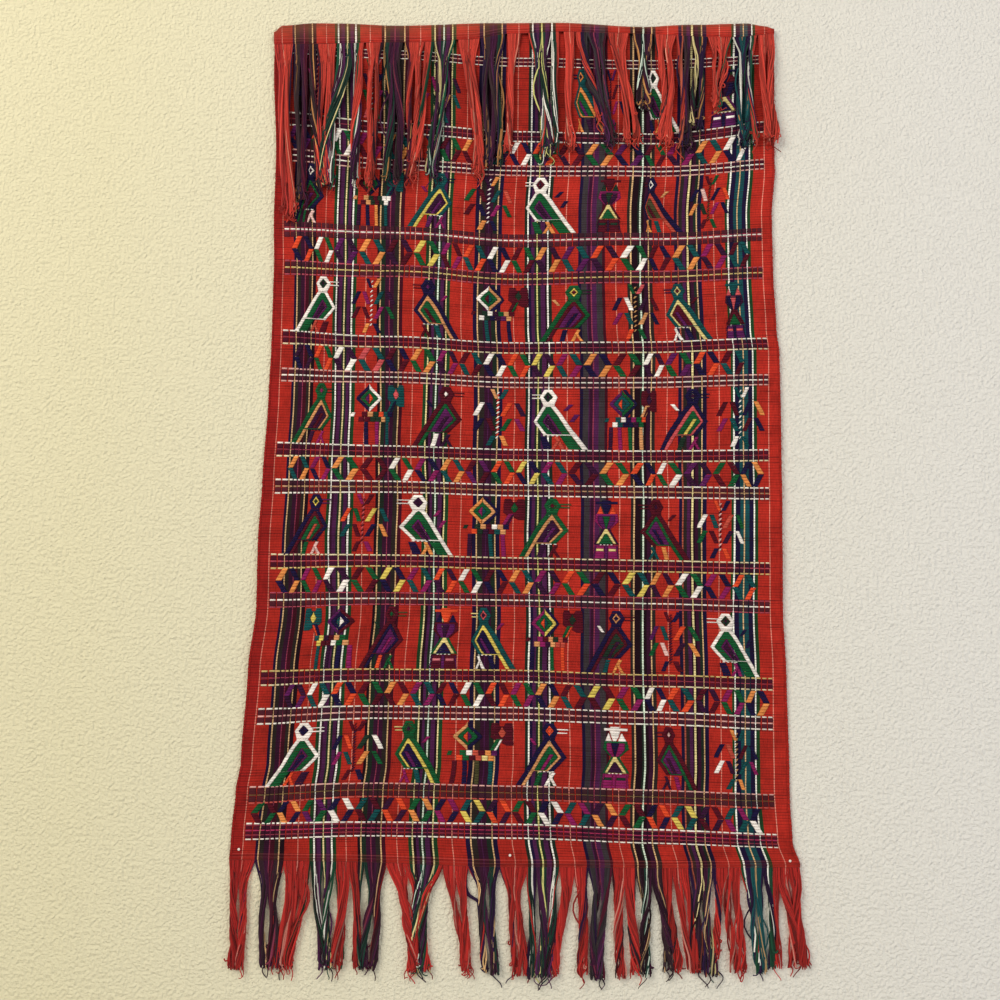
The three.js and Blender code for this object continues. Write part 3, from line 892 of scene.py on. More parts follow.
diamond_floats = []
diamond_colors = []
for band_above, first_middle, last_middle, rising, falling in DIAMOND_ROWS:
    top = band_edges[band_above][1] + BAND_CLEAR
    low = band_edges[band_above + 1][0] - BAND_CLEAR
    half = (low - top - DIAMOND_REST) / 2
    pick = half / BAR_PICKS
    dye_pairs = list(zip(rising.split(), falling.split()))
    middles = np.linspace(first_middle, last_middle, len(dye_pairs))
    bar_run = (middles[1] - middles[0]) / 2 - BAR_WIDE - 0.5
    for middle, (rise_dye, fall_dye) in zip(middles, dye_pairs):
        for part in range(BAR_PICKS):
            near = (BAR_PICKS - part) / BAR_PICKS * bar_run + HALF_GAP
            far = (BAR_PICKS - part - 1) / BAR_PICKS * bar_run + HALF_GAP
            for side, upper_dye, lower_dye in ((-1, rise_dye, fall_dye), (1, fall_dye, rise_dye)):
                near_ends = sorted((middle + side * near, middle + side * (near + BAR_WIDE)))
                far_ends = sorted((middle + side * far, middle + side * (far + BAR_WIDE)))
                past_edge = near_ends[1] > BAND_TO + 1 or near_ends[0] < BAND_FROM - 1
                if past_edge or (side > 0 and middle > LAST_WHOLE):
                    continue
                upper_top = top + half - (part + 1) * pick
                lower_top = low - half + part * pick
                upper = (*far_ends, *near_ends, upper_top + PICK_CLEAR, upper_top + pick - PICK_CLEAR)
                lower = (*near_ends, *far_ends, lower_top + PICK_CLEAR, lower_top + pick - PICK_CLEAR)
                add_float(diamond_floats, diamond_colors, upper, upper_dye)
                add_float(diamond_floats, diamond_colors, lower, lower_dye)
diamonds = woven_floats("brocade_diamonds", diamond_floats, diamond_colors, 12)


# The brocade's third form: the figures, eight in a row between two bands, each built up pick by pick. They
# are birds, maned animals, branching plants and vases. A chart gives each patch of dye as its left and right
# edges at counted picks, in millimetres from the figure's middle.
FIGURE_PICKS = 24
LEAST_OF_PICK = 0.3
MOST_OF_PICK = 0.6
OVERLAID_LIFT = 0.25
NARROWEST = 0.6
BIRD_BACK = [(6.5, 6.5), (10, 13.5), (24, 36.3)]
BIRD_BREAST = [(6.5, -5), (13, -16), (18.4, -4)]


def edge_at(line, pick):
    places = [place for place, _ in line]
    return float(np.interp(pick, places, [value for _, value in line]))


def bird_body(role, breast_inset, back_inset, tail_inset):
    """One nested patch of a bird's body: a slanted leaf inside the outline, with its strip of the tail."""
    stations = []
    for half_pick in range(13, 38):
        pick = half_pick / 2
        left = edge_at(BIRD_BREAST, pick) + breast_inset
        right = edge_at(BIRD_BACK, pick) - back_inset
        if right - left > -1:
            stations.append((pick, left, max(left, right)))
    layers = [(role, stations)]
    if tail_inset > back_inset:
        backs = [(pick, edge_at(BIRD_BACK, pick)) for pick in (18.5, 24)]
        layers.append((role, [(pick, back - tail_inset, back - back_inset) for pick, back in backs]))
    return layers


def lozenge(role, top, low, left, right):
    """A diamond-shaped patch; with left or right at 0 it is one half of a diamond."""
    return (role, [(top, 0, 0), ((top + low) / 2, left, right), (low, 0, 0)])


def patch_row(top, low, wide, starts, roles):
    """A row of like patches, each from its own start."""
    return [
        (role, [(top, start, start + wide), (low, start, start + wide)])
        for start, role in zip(starts, roles)
    ]


BIRD = [
    ("coat", [(0.1, -4, 4), (3, -8.6, 8.6), (5.4, -5.4, 5.4), (6.5, -5, 6.4)]),
    ("beak", [(2.1, -17.5, -7), (2.6, -18, -7)]),
    ("beak", [(3.4, -17, -7), (3.9, -16.5, -7)]),
    lozenge("ring", 1.1, 4.9, -4.3, 4.3),
    lozenge("pupil", 2, 4, -2.4, 2.4),
    *bird_body("coat", 0, 0, 6.2),
    *bird_body("wing", 5, 6.2, 10.6),
    *bird_body("field", 8, 10.6, 0),
    ("core", [(11.8, -4.5, -0.5), (17.8, 5.5, 9.5)]),
    ("stroke", [(6, 18.5, 23), (8.6, 13.2, 17)]),
    ("leg", [(18.8, 6, 11.5), (24, 10.5, 16)]),
    ("foot", [(18.8, -6.5, -2.6), (24, 0.8, 4.6)]),
    ("foot", [(21, -3.6, -0.4), (24, -8, -4.6)]),
    *patch_row(18.4, 18.85, 2.8, (-4.6, -0.4, 3.8, 8), ["close"] * 4),
]
WHITE_BIRD = [
    ("coat", [(0.1, -4, 4), (3, -9.3, 9.3), (5.4, -6.5, 7), (6.5, -5, 6.4)]),
    ("beak", [(1.9, -18.5, -7), (2.4, -18.5, -7)]),
    ("beak", [(3.3, -18.5, -7), (3.8, -18.5, -7)]),
    lozenge("pupil", 0.9, 5.2, -5, 5),
    lozenge("core", 2.4, 3.8, -1.4, 1.4),
    *bird_body("coat", 0, 0, 5),
    *bird_body("wing", 4.2, 5, 16),
    *bird_body("field", 10.5, 12.5, 0),
    *bird_body("core", 13, 15, 0),
    ("stroke", [(6, 19.5, 24), (8.6, 14.5, 18.5)]),
    ("stroke", [(10, 24.5, 29), (13, 20.5, 24.5)]),
    ("leg", [(18.8, -8, -1.5), (24, -4, 5)]),
    ("foot", [(18.8, 6, 10), (24, 12.5, 17)]),
    ("foot", [(21, 8.4, 11.6), (24, 3.6, 7.4)]),
    *patch_row(18.4, 18.85, 2.8, (-4.6, -0.4, 3.8, 8), ["close"] * 4),
]
ANIMAL = [
    ("chevron", [(0.2, 0.6, 5), (5.8, 12, 17.4), (11, 1, 6)]),
    lozenge("left_ring", 0.3, 11.2, -13.8, 0),
    lozenge("right_ring", 0.3, 11.2, 0, 14.2),
    lozenge("field", 2.1, 9.4, -9.4, 10),
    lozenge("core", 3.8, 7.7, -4.6, 0),
    lozenge("heart", 3.8, 7.7, 0, 4.6),
    ("head", [(0.4, 22, 28), (1.6, 21, 30)]),
    ("head", [(0.4, 35, 41), (1.6, 33, 42)]),
    ("head", [(1.6, 21, 42), (6.4, 20.6, 42.4), (9, 36, 42.4)]),
    ("eye", [(2.4, 31.2, 32), (4.3, 27.4, 35.8), (6.2, 31.2, 32)]),
    ("neck", [(6.4, 26, 33), (11.4, 19.5, 26.5)]),
    ("mane", [(6.6, 30, 32.4), (11.2, 23.4, 25.8)]),
    ("leg_one", [(14.8, -13.4, -9), (24, -14.2, -9.6)]),
    ("leg_two", [(15.2, -4.6, -0.4), (24, -3.6, 1)]),
    ("leg_three", [(15.2, 6.4, 10.8), (24, 7.6, 12)]),
    ("leg_four", [(11.4, 18.4, 22.6), (24, 19.6, 24.2)]),
    ("tail", [(11.4, -17, -13), (13.2, -19, -14.6)]),
    *patch_row(11.3, 13.2, 5.7, (-7, -1.3, 4.4, 10.1, 15.8, 21.5), "one two three four five six".split()),
    *patch_row(13.2, 15.1, 5.7, (-10, -4.3, 1.4, 7.1, 12.8, 18.5), "seven one eight three nine five".split()),
]
PLANT = [
    *[("stem" if step % 2 else "twine", [(step, 0, 2.1), (step + 1, -2.1, 0)]) for step in range(1, 20)],
    ("top_left", [(0.3, -7, -2.8), (4, -2.6, 0.8)]),
    ("top_right", [(0.3, 5.6, 10.4), (4.2, 0.4, 4.6)]),
    ("one", [(5.6, -17, -12), (10.7, -23.6, -18.6)]),
    ("two", [(5.6, -11.4, -6.4), (10.7, -6.2, -1.2)]),
    ("three", [(5.6, 8.8, 13.8), (10.7, 2, 7)]),
    ("four", [(5.6, 14.6, 19.6), (10.7, 21.2, 26.2)]),
    ("five", [(12, -17, -12), (16.9, -23.6, -18.6)]),
    ("six", [(12, -11.4, -6.4), (16.9, -6.2, -1.2)]),
    ("seven", [(12, 8.8, 13.8), (16.9, 2, 7)]),
    ("eight", [(12, 14.6, 19.6), (16.9, 21.2, 26.2)]),
    ("low_left", [(18.8, -5.6, -0.8), (23.2, -11, -6)]),
    ("low_right", [(18.8, 1.2, 6), (23.2, 6, 11)]),
]
VASE = [
    ("flower", [(0.4, -5, 5), (2, -6, 6), (3.6, -4.6, 5), (6.2, -1.6, 1.8)]),
    ("flower", [(1, -12.5, 13), (1.9, -12.5, 13)]),
    ("petal", [(3, -7.6, -6.4), (6.2, -11.4, -3)]),
    ("petal", [(3, 6.8, 8), (6.2, 3.2, 12)]),
    ("bowl", [(6.2, -12.4, 13), (9, -13.8, 14.4), (12.2, -4.6, 5)]),
    ("cheek", [(6.4, -9.6, 10.2), (9.4, -9.6, 10.2), (12.2, -3, 3.4)]),
    ("heart", [(6.4, -4.6, 5), (12, -0.4, 0.8)]),
    ("skirt", [(12.2, -4.6, 5), (18.3, -14.5, 15)]),
    ("frame", [(12.2, -1.8, 2), (18.3, -12, 12.4)]),
    ("inside", [(14, -1, 1.2), (18.3, -8.8, 9)]),
    ("base", [(18.6, -13.6, 14), (24, -15.4, 15)]),
    ("dash", [(20.3, -11.6, -2.6), (21, -11.8, -2.6)]),
    ("dash", [(20.3, 2.8, 11.4), (21, 2.8, 11.4)]),
    ("cheek", [(18.6, -1.8, 2), (24, -1.8, 2)]),
    ("cheek", [(18.6, -12.6, -11.2), (24, -15.4, -13.8)]),
    ("cheek", [(18.6, 11.8, 13.2), (24, 13.4, 15)]),
    *patch_row(18.2, 18.65, 2.6, (-7.4, -3.3, 0.8, 4.9), ["close"] * 4),
]
# Each kind of figure: its chart, how far that reaches from its middle to its front and to its back, and its
# parts in the order of the dyes in the rows below. The front may be to the left or to the right.
FIGURES = {
    "bird": (BIRD, -16, 36.3, "coat wing field core ring pupil beak leg foot stroke close"),
    "white_bird": (WHITE_BIRD, -16, 36.3, "coat wing field core pupil beak leg foot stroke close"),
    "animal": (ANIMAL, 42.4, -13.8,
               "left_ring right_ring field core heart chevron head eye neck mane leg_one leg_two leg_three "
               "leg_four tail one two three four five six seven eight nine"),
    "plant": (PLANT, -23.6, 26.2,
              "stem twine top_left top_right one two three four five six seven eight low_left low_right"),
    "vase": (VASE, -15.4, 15, "flower petal bowl cheek heart skirt frame inside base dash close"),
}
# The figures between two bands, by the number of the band below: kind, middle, front and back, then the
# dyes. A line that starts with a space goes on from the one before.
FIGURE_ROWS = {
    1: """
plant -222 -246 -197: pink purple maroon navy plum magenta teal olive navy plum green magenta orange plum
plant -160 -179 -138: white red olive pink purple plum navy purple magenta green magenta plum rose green
plant -92 -112 -66: maroon navy plum navy navy magenta fir plum magenta fir peach teal magenta teal
bird 69 63 99: teal orange green purple orange plum navy plum orange none none
plant 98 86 112: maroon plum navy purple plum navy maroon purple plum navy magenta navy maroon magenta
white_bird 139 131 171: white green purple plum fir white navy orange none white
vase 212 199 227: navy maroon plum navy plum purple straw navy purple white white
""",
    3: """
bird -232 -212 -250: navy green maroon purple white plum navy green rose_white none white
animal -159 -126 -172: maroon navy green flame purple none teal rose teal navy plum navy orange teal
    peach peach fir maroon fir white white maroon fir fir
bird -89 -73 -121: teal yellow plum purple teal plum navy purple magenta magenta white
plant -30 -59 -2: white plum plum orange green maroon teal brick maroon navy magenta green orange navy
white_bird 29 14 68: white green purple plum maroon white green orange navy white
vase 98 87 110: maroon fir magenta plum fir maroon straw green maroon fir none
bird 138 131 176: navy brick olive maroon white navy maroon teal orange peach none
plant 201 181 222: maroon olive maroon green navy rose_white navy flame orange fir magenta navy maroon green
""",
    5: """
white_bird -212 -193 -250: white green purple plum fir white maroon brick none none
plant -156 -176 -131: white red navy orange navy magenta teal plum maroon maroon magenta green orange navy
bird -98 -112 -61: navy peach green maroon navy purple maroon teal maroon magenta white
animal -27 18 -42: white peach green maroon teal navy maroon fir maroon green none teal none navy maroon
    fir white plum green peach maroon white navy purple
bird 66 81 29: green maroon purple navy yellow maroon fir navy orange peach none
plant 122 101 149: tan black green rose navy white plum maroon magenta teal peach navy flame green
bird 169 157 202: teal straw maroon purple straw maroon navy navy white maroon white
vase 224 215 238: teal rose plum navy rose maroon maroon green purple rose none
""",
    7: """
bird -211 -196 -248: green peach plum maroon green magenta fir plum magenta none navy
animal -158 -121 -171: navy white green purple flame none teal rose teal navy none navy magenta teal
    white maroon peach fir flame teal navy maroon fir peach
bird -76 -57 -111: maroon green purple plum maroon white maroon white plum navy none
plant -19 -46 14: white red peach teal white navy flame plum navy maroon green magenta teal orange
white_bird 38 23 78: white green purple plum fir white navy brick purple white
animal 108 144 96: purple green teal flame teal navy maroon plum peach maroon plum magenta green peach
    teal teal white navy magenta green flame white navy plum
bird 180 195 148: navy rose green yellow navy plum navy fir magenta white none
plant 228 203 257: white teal teal white maroon maroon navy orange magenta teal maroon navy white teal
""",
    9: """
bird -212 -194 -249: navy maroon green brick yellow fir purple green rose_white none fir
plant -162 -183 -136: rose maroon magenta maroon flame green yellow teal teal maroon navy orange maroon
    magenta
white_bird -106 -126 -66: white green purple plum plum white navy orange magenta white
animal -34 14 -50: orange peach green magenta teal navy maroon green magenta plum plum none teal magenta
    fir fir peach maroon white peach navy flame plum teal
bird 42 59 7: green peach plum purple green maroon green plum maroon none white
vase 93 81 105: navy flame magenta purple green plum straw green magenta straw white
bird 142 124 178: maroon green purple navy maroon plum maroon orange teal maroon none
plant 207 184 232: rose_white maroon flame navy white teal brick green green maroon plum white navy flame
""",
    11: """
animal -182 -222 -166: maroon purple navy white teal none teal yellow navy flame magenta navy plum teal
    none green peach maroon plum yellow teal peach white maroon
bird -131 -116 -159: maroon navy purple magenta maroon green olive flame green fir none
vase -74 -89 -58: flame navy maroon purple plum green straw navy maroon pink white
bird -33 -45 4: teal yellow navy purple rose plum straw navy white magenta white
animal 33 72 18: magenta yellow green flame teal navy maroon fir green flame navy none green flame
    maroon magenta maroon peach fir brick maroon peach plum brick
bird 102 118 74: navy maroon fir plum peach navy maroon teal orange white none
plant 159 134 186: maroon plum maroon navy purple teal flame green green rose_white plum orange navy maroon
white_bird 213 196 248: white green purple plum fir white navy magenta navy white
""",
    13: """
white_bird -212 -192 -249: white green purple navy navy white plum flame none none
plant -160 -181 -131: maroon plum maroon maroon navy flame fir white magenta teal orange green maroon navy
bird -107 -120 -71: green yellow navy purple green plum straw teal magenta magenta white
animal -46 1 -62: peach navy green flame purple none maroon brick green white maroon navy olive teal
    green green white brick maroon orange purple flame maroon straw
bird 38 55 5: navy peach green magenta flame flame white green white magenta white
vase 100 88 114: white white green magenta navy green straw plum magenta fir white
bird 155 140 183: maroon green purple plum maroon rose_white plum magenta plum none none
plant 222 198 247: tan black orange teal navy brick maroon navy white plum teal magenta teal orange
""",
}


def chart_floats(chart, dyes, places_across, reaches, top, pick):
    """Works a chart pick by pick. A patch that comes later covers what lies under it in the same pick."""
    picks = {number: [] for number in range(FIGURE_PICKS)}
    for role, stations in chart:
        if dyes[role] == "none":
            continue
        places = [station[0] for station in stations]
        for number in range(FIGURE_PICKS):
            start, stop = max(number, places[0]), min(number + 1, places[-1])
            if stop - start < LEAST_OF_PICK:
                continue
            edges = [
                float(np.interp(at, places, [station[side] for station in stations]))
                for at in (start + 0.02, stop - 0.02)
                for side in (1, 2)
            ]
            if stop - start > MOST_OF_PICK:
                picks[number] = [part for laid in picks[number] for part in cut_around(laid, edges)]
                start, stop = number, number + 1
                thin = 0
            else:
                thin = OVERLAID_LIFT
            picks[number].append((edges, start, stop, thin, dyes[role]))
    floats, colors = [], []
    for parts in picks.values():
        for edges, start, stop, thin, dye in parts:
            if edges[1] + edges[3] - edges[0] - edges[2] < 2 * NARROWEST:
                continue
            shape = [edges[0] + 0.1, edges[1] - 0.1, edges[2] + 0.1, edges[3] - 0.1]
            shape = [stretched(place, places_across, reaches) for place in shape]
            shape = [*sorted(shape[:2]), *sorted(shape[2:])]
            ends = (top + start * pick + 0.06, top + stop * pick - 0.06)
            add_float(floats, colors, (*shape, *ends), dye, FLOAT_RISE + thin)
    return floats, colors


def stretched(place, places_across, reaches):
    """Where a place on a chart falls on the cloth, given the figure's middle, front and back there."""
    middle, front, back = places_across
    if place * reaches[0] > 0:
        return middle + (front - middle) * place / reaches[0]
    return middle + (back - middle) * place / reaches[1]


def cut_around(laid, edges):
    """What is left of a float at each side of a later one."""
    (top_left, top_right, low_left, low_right), start, stop, thin, dye = laid
    left = [top_left, min(top_right, edges[0]), low_left, min(low_right, edges[2])]
    right = [max(top_left, edges[1]), top_right, max(low_left, edges[3]), low_right]
    kept = []
    for part in (left, right):
        part[1] = max(part[0], part[1])
        part[3] = max(part[2], part[3])
        if part[1] + part[3] - part[0] - part[2] > 1.0:
            kept.append((part, start, stop, thin, dye))
    return kept


figure_floats = []
figure_colors = []
for band_below, plan in FIGURE_ROWS.items():
    row_top = band_edges[band_below - 1][1] + 1.6
    figure_pick = (band_edges[band_below][0] - 0.5 - row_top) / FIGURE_PICKS
    for line in plan.strip().replace("\n    ", " ").splitlines():
        heading, dye_names = line.split(":")
        kind, *places_across = heading.split()
        places_across = [float(place) for place in places_across]
        chart, front, back, roles = FIGURES[kind]
        dyes = dict(zip(roles.split(), dye_names.split()))
        floats, colors = chart_floats(chart, dyes, places_across, (front, back), row_top, figure_pick)
        figure_floats.extend(floats)
        figure_colors.extend(colors)
figures = woven_floats("brocade_figures", figure_floats, figure_colors, 13)


# The selvedges. At each side the ground weft turns round the outermost warp, so the edge is a row of small
# beads.
TURN_IN = -272.6
TURN_OUT = -275.4

turn_floats = []
turn_colors = []
for side, dye in ((1, "deep_red"), (-1, "red")):
    for down in np.arange(2, HEM_DOWN - 2, PICK):
        ends = sorted((side * TURN_IN, side * TURN_OUT))
        turn_floats.append((*ends, *ends, down, down + PICK - 0.5, 0.35))
        turn_colors.append(linear(DYES[dye]))
turns = woven_floats("selvedge_turns", turn_floats, turn_colors, 14)


# The lower fringe. It is the cloth's own warp, left unwoven below the hem. Its yarns have drawn together
# into bunches, each made of two or three locks that twist a little, hang close to the wall and end frayed at
# uneven lengths.
YARN_RADIUS = 0.66
YARN_SIDES = 4
YARN_RINGS = 24
YARN_STATIONS = YARN_RINGS + 1
YARN_HIDDEN = 2.6
LEAST_YARNS = 8
MOST_LOCKS = 3
LOCK_ROOT = 10
BELLY_DEPTH = 5.2
SHORT_YARNS = 0.12
STRAY_YARNS = 0.07
BOWED_YARNS = 0.07
LOWER_MAKE = {
    "per_mm": 1.88,
    "root_off": CLOTH_THICK / 2,
    "on_cloth": False,
    "clearance": 0.4,
    "tangle": 0.45,
    "hooked": 0.2,
    "lock_width": 1.0,
}
# How far each loose yarn's dye is scaled, darker or lighter at random, and the share of yarns at each level:
# partly dirt, partly painted shade and light between the yarns of a bunch.
YARN_LEVELS = {0.4: 0.14, 0.7: 0.22, 0.95: 0.3, 1.1: 0.22, 1.4: 0.12}
LOWER_TONES = {
    "deep_red": (159, 35, 33),
    "red": (184, 45, 40),
    "pink": (212, 134, 120),
    "mint": (205, 220, 205),
    "olive": (57, 33, 44),
    "plum": (66, 20, 53),
    "navy": (42, 18, 59),
    "maroon": (83, 18, 41),
    "black": (44, 17, 33),
    "purple": (79, 31, 74),
    "green": (22, 72, 50),
    "fir": (24, 61, 50),
    "teal": (18, 81, 85),
}
# Each bunch: the stretch of hem that it leaves (from, to), the width that its end covers (from, to), and its
# drop.
LOWER_BUNCHES = [
    (-285, -260, -284, -268, 103), (-260, -231, -250, -231, 102), (-231, -205, -238, -217, 102),
    (-205, -180.5, -197, -181, 103), (-180.5, -167.5, -181, -169, 102), (-167.5, -152.5, -160, -152, 101),
    (-152.5, -130.5, -152, -138, 102), (-130.5, -74.5, -110, -85, 102), (-74.5, -50.5, -57, -44, 99),
    (-50.5, -19, -34, -18, 102), (-19, 8.5, -5, 8, 102), (8.5, 17, 8, 16, 105),
    (17, 40, 17, 34, 104), (40, 54, 30, 40, 102), (54, 68, 58, 68, 102),
    (68, 91.5, 70, 84, 106), (91.5, 103.5, 94, 104, 104), (103.5, 115.5, 108, 118, 101),
    (115.5, 130, 119, 130, 102), (130, 140, 142, 152, 98), (140, 150, 150, 158, 98),
    (150, 166, 164, 178, 99), (166, 190.5, 175, 193, 102), (190.5, 201, 189, 196, 86),
    (201, 217, 203, 220, 99), (217, 240, 230, 243, 100), (240, 255, 244, 257, 96),
    (255, 275, 262, 283, 95),
]

globe = bmesh.new()
bmesh.ops.create_uvsphere(globe, u_segments=YARN_SIDES, v_segments=YARN_RINGS, radius=1)
yarn_points = np.array([vertex.co[:] for vertex in globe.verts])
yarn_faces = [[vertex.index for vertex in face.verts] for face in globe.faces]
globe.free()
yarn_turn = np.arctan2(yarn_points[:, 1], yarn_points[:, 0])
yarn_ring = np.rint((1 - np.arccos(np.clip(yarn_points[:, 2], -1, 1)) / math.pi) * YARN_RINGS).astype(int)


def yarns(name, paths, radii, colors, node):
    """Joins yarns into one mesh. Each has its path and its radii, in millimetres, at the same stations."""
    ahead = np.gradient(paths, axis=1)
    ahead /= np.linalg.norm(ahead, axis=2, keepdims=True) + 1e-9
    side = np.cross(ahead, np.array([0.0, 1.0, 0.0]))
    side /= np.linalg.norm(side, axis=2, keepdims=True) + 1e-9
    front = np.cross(ahead, side)
    ring = YARN_RINGS - yarn_ring
    reach = radii[:, ring][:, :, None]
    outward = np.cos(yarn_turn)[:, None] * side[:, ring] + np.sin(yarn_turn)[:, None] * front[:, ring]
    points = paths[:, ring] + reach * outward
    count, size = len(paths), len(yarn_points)
    faces = [[corner + number * size for corner in face] for number in range(count) for face in yarn_faces]
    mesh = joined_mesh(name, points.reshape(-1, 3) * MM, faces)
    shades = np.concatenate([colors, np.ones((count, 1))], axis=1)
    layer = mesh.color_attributes.new("dye", "FLOAT_COLOR", "POINT")
    layer.data.foreach_set("color", np.repeat(shades, size, axis=0).ravel())
    steps = np.linalg.norm(np.diff(paths, axis=1), axis=2)
    along = np.concatenate([np.zeros((count, 1)), np.cumsum(steps, axis=1)], axis=1)[:, ring]
    own = np.broadcast_to(np.arange(count)[:, None] * 7.3, along.shape)
    turned = np.broadcast_to(yarn_turn, along.shape)
    place = mesh.attributes.new("weave", "FLOAT_VECTOR", "POINT")
    place.data.foreach_set("vector", np.stack([turned, own, along], axis=-1).ravel())
    piece = bpy.data.objects.new(name, mesh)
    bpy.context.collection.objects.link(piece)
    mesh.materials.append(loose_cotton)
    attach(piece, "root")
    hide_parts(node)
    return piece


# Loose warp yarn: softer and lighter than in the cloth, two plies twisted together, so a faint spiral runs
# round it. The spiral's grooves are darkened as painted shade.
PLY_TWIST = {"round": 2.0, "along": 2.6}
PLY_GROOVE_SHADE = {"share": 0.35, "color": (0.02, 0.01, 0.01, 1)}

loose_cotton, loose_surface = cotton_surface("Loose cotton yarn", 0.9, 0.08)
tree = loose_cotton.node_tree
yarn_place, round_yarn, _, along_yarn = weave_parts(tree)
shade = dyed_cotton(tree, attribute_socket(tree, "dye", "Color"), yarn_place, 0.3)
spiral = math_node(tree, "MULTIPLY", round_yarn, PLY_TWIST["round"])
spiral = math_node(tree, "ADD", spiral, math_node(tree, "MULTIPLY", along_yarn, PLY_TWIST["along"]))
ply = math_node(tree, "ABSOLUTE", math_node(tree, "SINE", spiral))
# Painted shade in the grooves between the plies.
shade = tinted(tree, shade, math_node(tree, "SUBTRACT", 1.0, ply), PLY_GROOVE_SHADE)
tree.links.new(shade, loose_surface.inputs["Base Color"])
raise_surface(tree, loose_surface, ply, 0.5, 0.0003)


def even_spread(x, down):
    """Where a true distance across falls once the cloth's width there is spread to its nominal width."""
    left = eased(SELVEDGES, "down", "left", down)
    right = eased(SELVEDGES, "down", "right", down)
    return ((x - left) / (right - left) - 0.5) * NOMINAL_WIDTH


def edge_height(edge, x):
    """The height of a woven edge at a true distance across."""
    down = -eased(edge, "across", "height", x)
    return eased(edge, "across", "height", even_spread(x, down))


def one_each(chance, low, high, count):
    """A random value for each yarn, as a column."""
    return chance.uniform(low, high, count)[:, None]


def own_waves(chance, t, fewest, most, count):
    """A sine along each yarn, with its own number of waves and its own start."""
    number = one_each(chance, fewest, most, count)
    return np.sin(2 * math.pi * number * t + one_each(chance, 0, 6, count))


def yarn_lengths(chance, drop, count):
    """Each yarn's length as a share of the drop, and which of them are strays that hang below the rest."""
    length = chance.uniform(0.96, 1.01, count)
    length = np.where(chance.random(count) < SHORT_YARNS, length * chance.uniform(0.8, 0.96, count), length)
    stray = chance.random(count) < STRAY_YARNS
    length = np.where(stray, chance.uniform(1.03, 1.04 + 8 / drop, count), length)
    return length, stray


def twisted_locks(chance, root, t, locks, end_half, make):
    """Sorts a bunch's yarns into locks and twists them: each yarn's lock, its place across and its depth."""
    count = len(root)
    rank = np.clip((root + 1) / 2 + chance.normal(0, 0.09, count), 0, 0.999) * locks
    lock = rank.astype(int)
    beside = 2 * (rank - lock) - 1
    behind = chance.uniform(-1, 1, count) * np.sqrt(np.clip(1 - beside * beside, 0.1, 1))
    turns = (chance.uniform(0.5, 1 + 0.5 * make["tangle"], locks) * chance.choice([-1, 1], locks))[lock]
    twist = 2 * math.pi * turns[:, None] * smooth((t - 0.08) / 1.1)
    waist = 1 - 0.16 * np.sin(math.pi * np.clip((t - 0.1) / 0.75, 0, 1))
    across = (beside[:, None] * np.cos(twist) - behind[:, None] * np.sin(twist)) * waist
    deep = beside[:, None] * np.sin(twist) + behind[:, None] * np.cos(twist)
    lock_middle = ((lock + 0.5) / locks * 2 - 1) * end_half
    start = chance.uniform(0, 2 * math.pi, locks)[lock][:, None]
    sway = 0.25 * end_half * np.sin(2 * math.pi * (0.6 + 0.5 * make["tangle"]) * t + start)
    return lock, lock_middle[:, None] + sway + end_half / locks * make["lock_width"] * across, deep


def yarn_swing(chance, t, length, stray, drop, make):
    """How far each yarn goes aside by itself, and how far its hooked end turns back up."""
    count = len(length)
    wave = one_each(chance, 0.1, 0.5, count) * own_waves(chance, t, 1.5, 4, count)
    loose = smooth((t - 0.7) / 0.3) * make["tangle"] * one_each(chance, 0, 2.4, count)
    loose = loose * own_waves(chance, t, 3, 5, count)
    fray = np.clip((t - 0.86) / 0.16, 0, 1.2) ** 2 * chance.normal(0, 1.0, count)[:, None]
    hook_size = one_each(chance, 0.8, 2.2, count)
    hook_from = (length - chance.uniform(3, 5 + 6 * make["tangle"], count) / drop)[:, None]
    hook_turn = np.clip(t - hook_from, 0, 1) * drop / hook_size
    has_hook = chance.random(count) < make["hooked"]
    hooked = (has_hook * chance.choice([-1, 1], count))[:, None]
    hook_aside = hooked * hook_size * (1 - np.cos(hook_turn))
    hook_back = np.abs(hooked) * hook_size * (hook_turn - np.sin(hook_turn))
    curl = stray[:, None] * smooth((t - 0.86) / 0.16) * one_each(chance, 1.5, 5, count)
    curl = curl * np.sin(2 * math.pi * 0.04 * drop * t + one_each(chance, 0, 6, count))
    bowed = (chance.random(count) < BOWED_YARNS) * chance.normal(0, 3.4, count)
    bow_from = one_each(chance, 0.1, 0.5, count)
    bow = bowed[:, None] * np.sin(math.pi * np.clip((t - bow_from) / 0.35, 0, 1))
    return wave * np.clip(t * 5, 0, 1) + fray + curl + loose + bow + hook_aside, hook_back


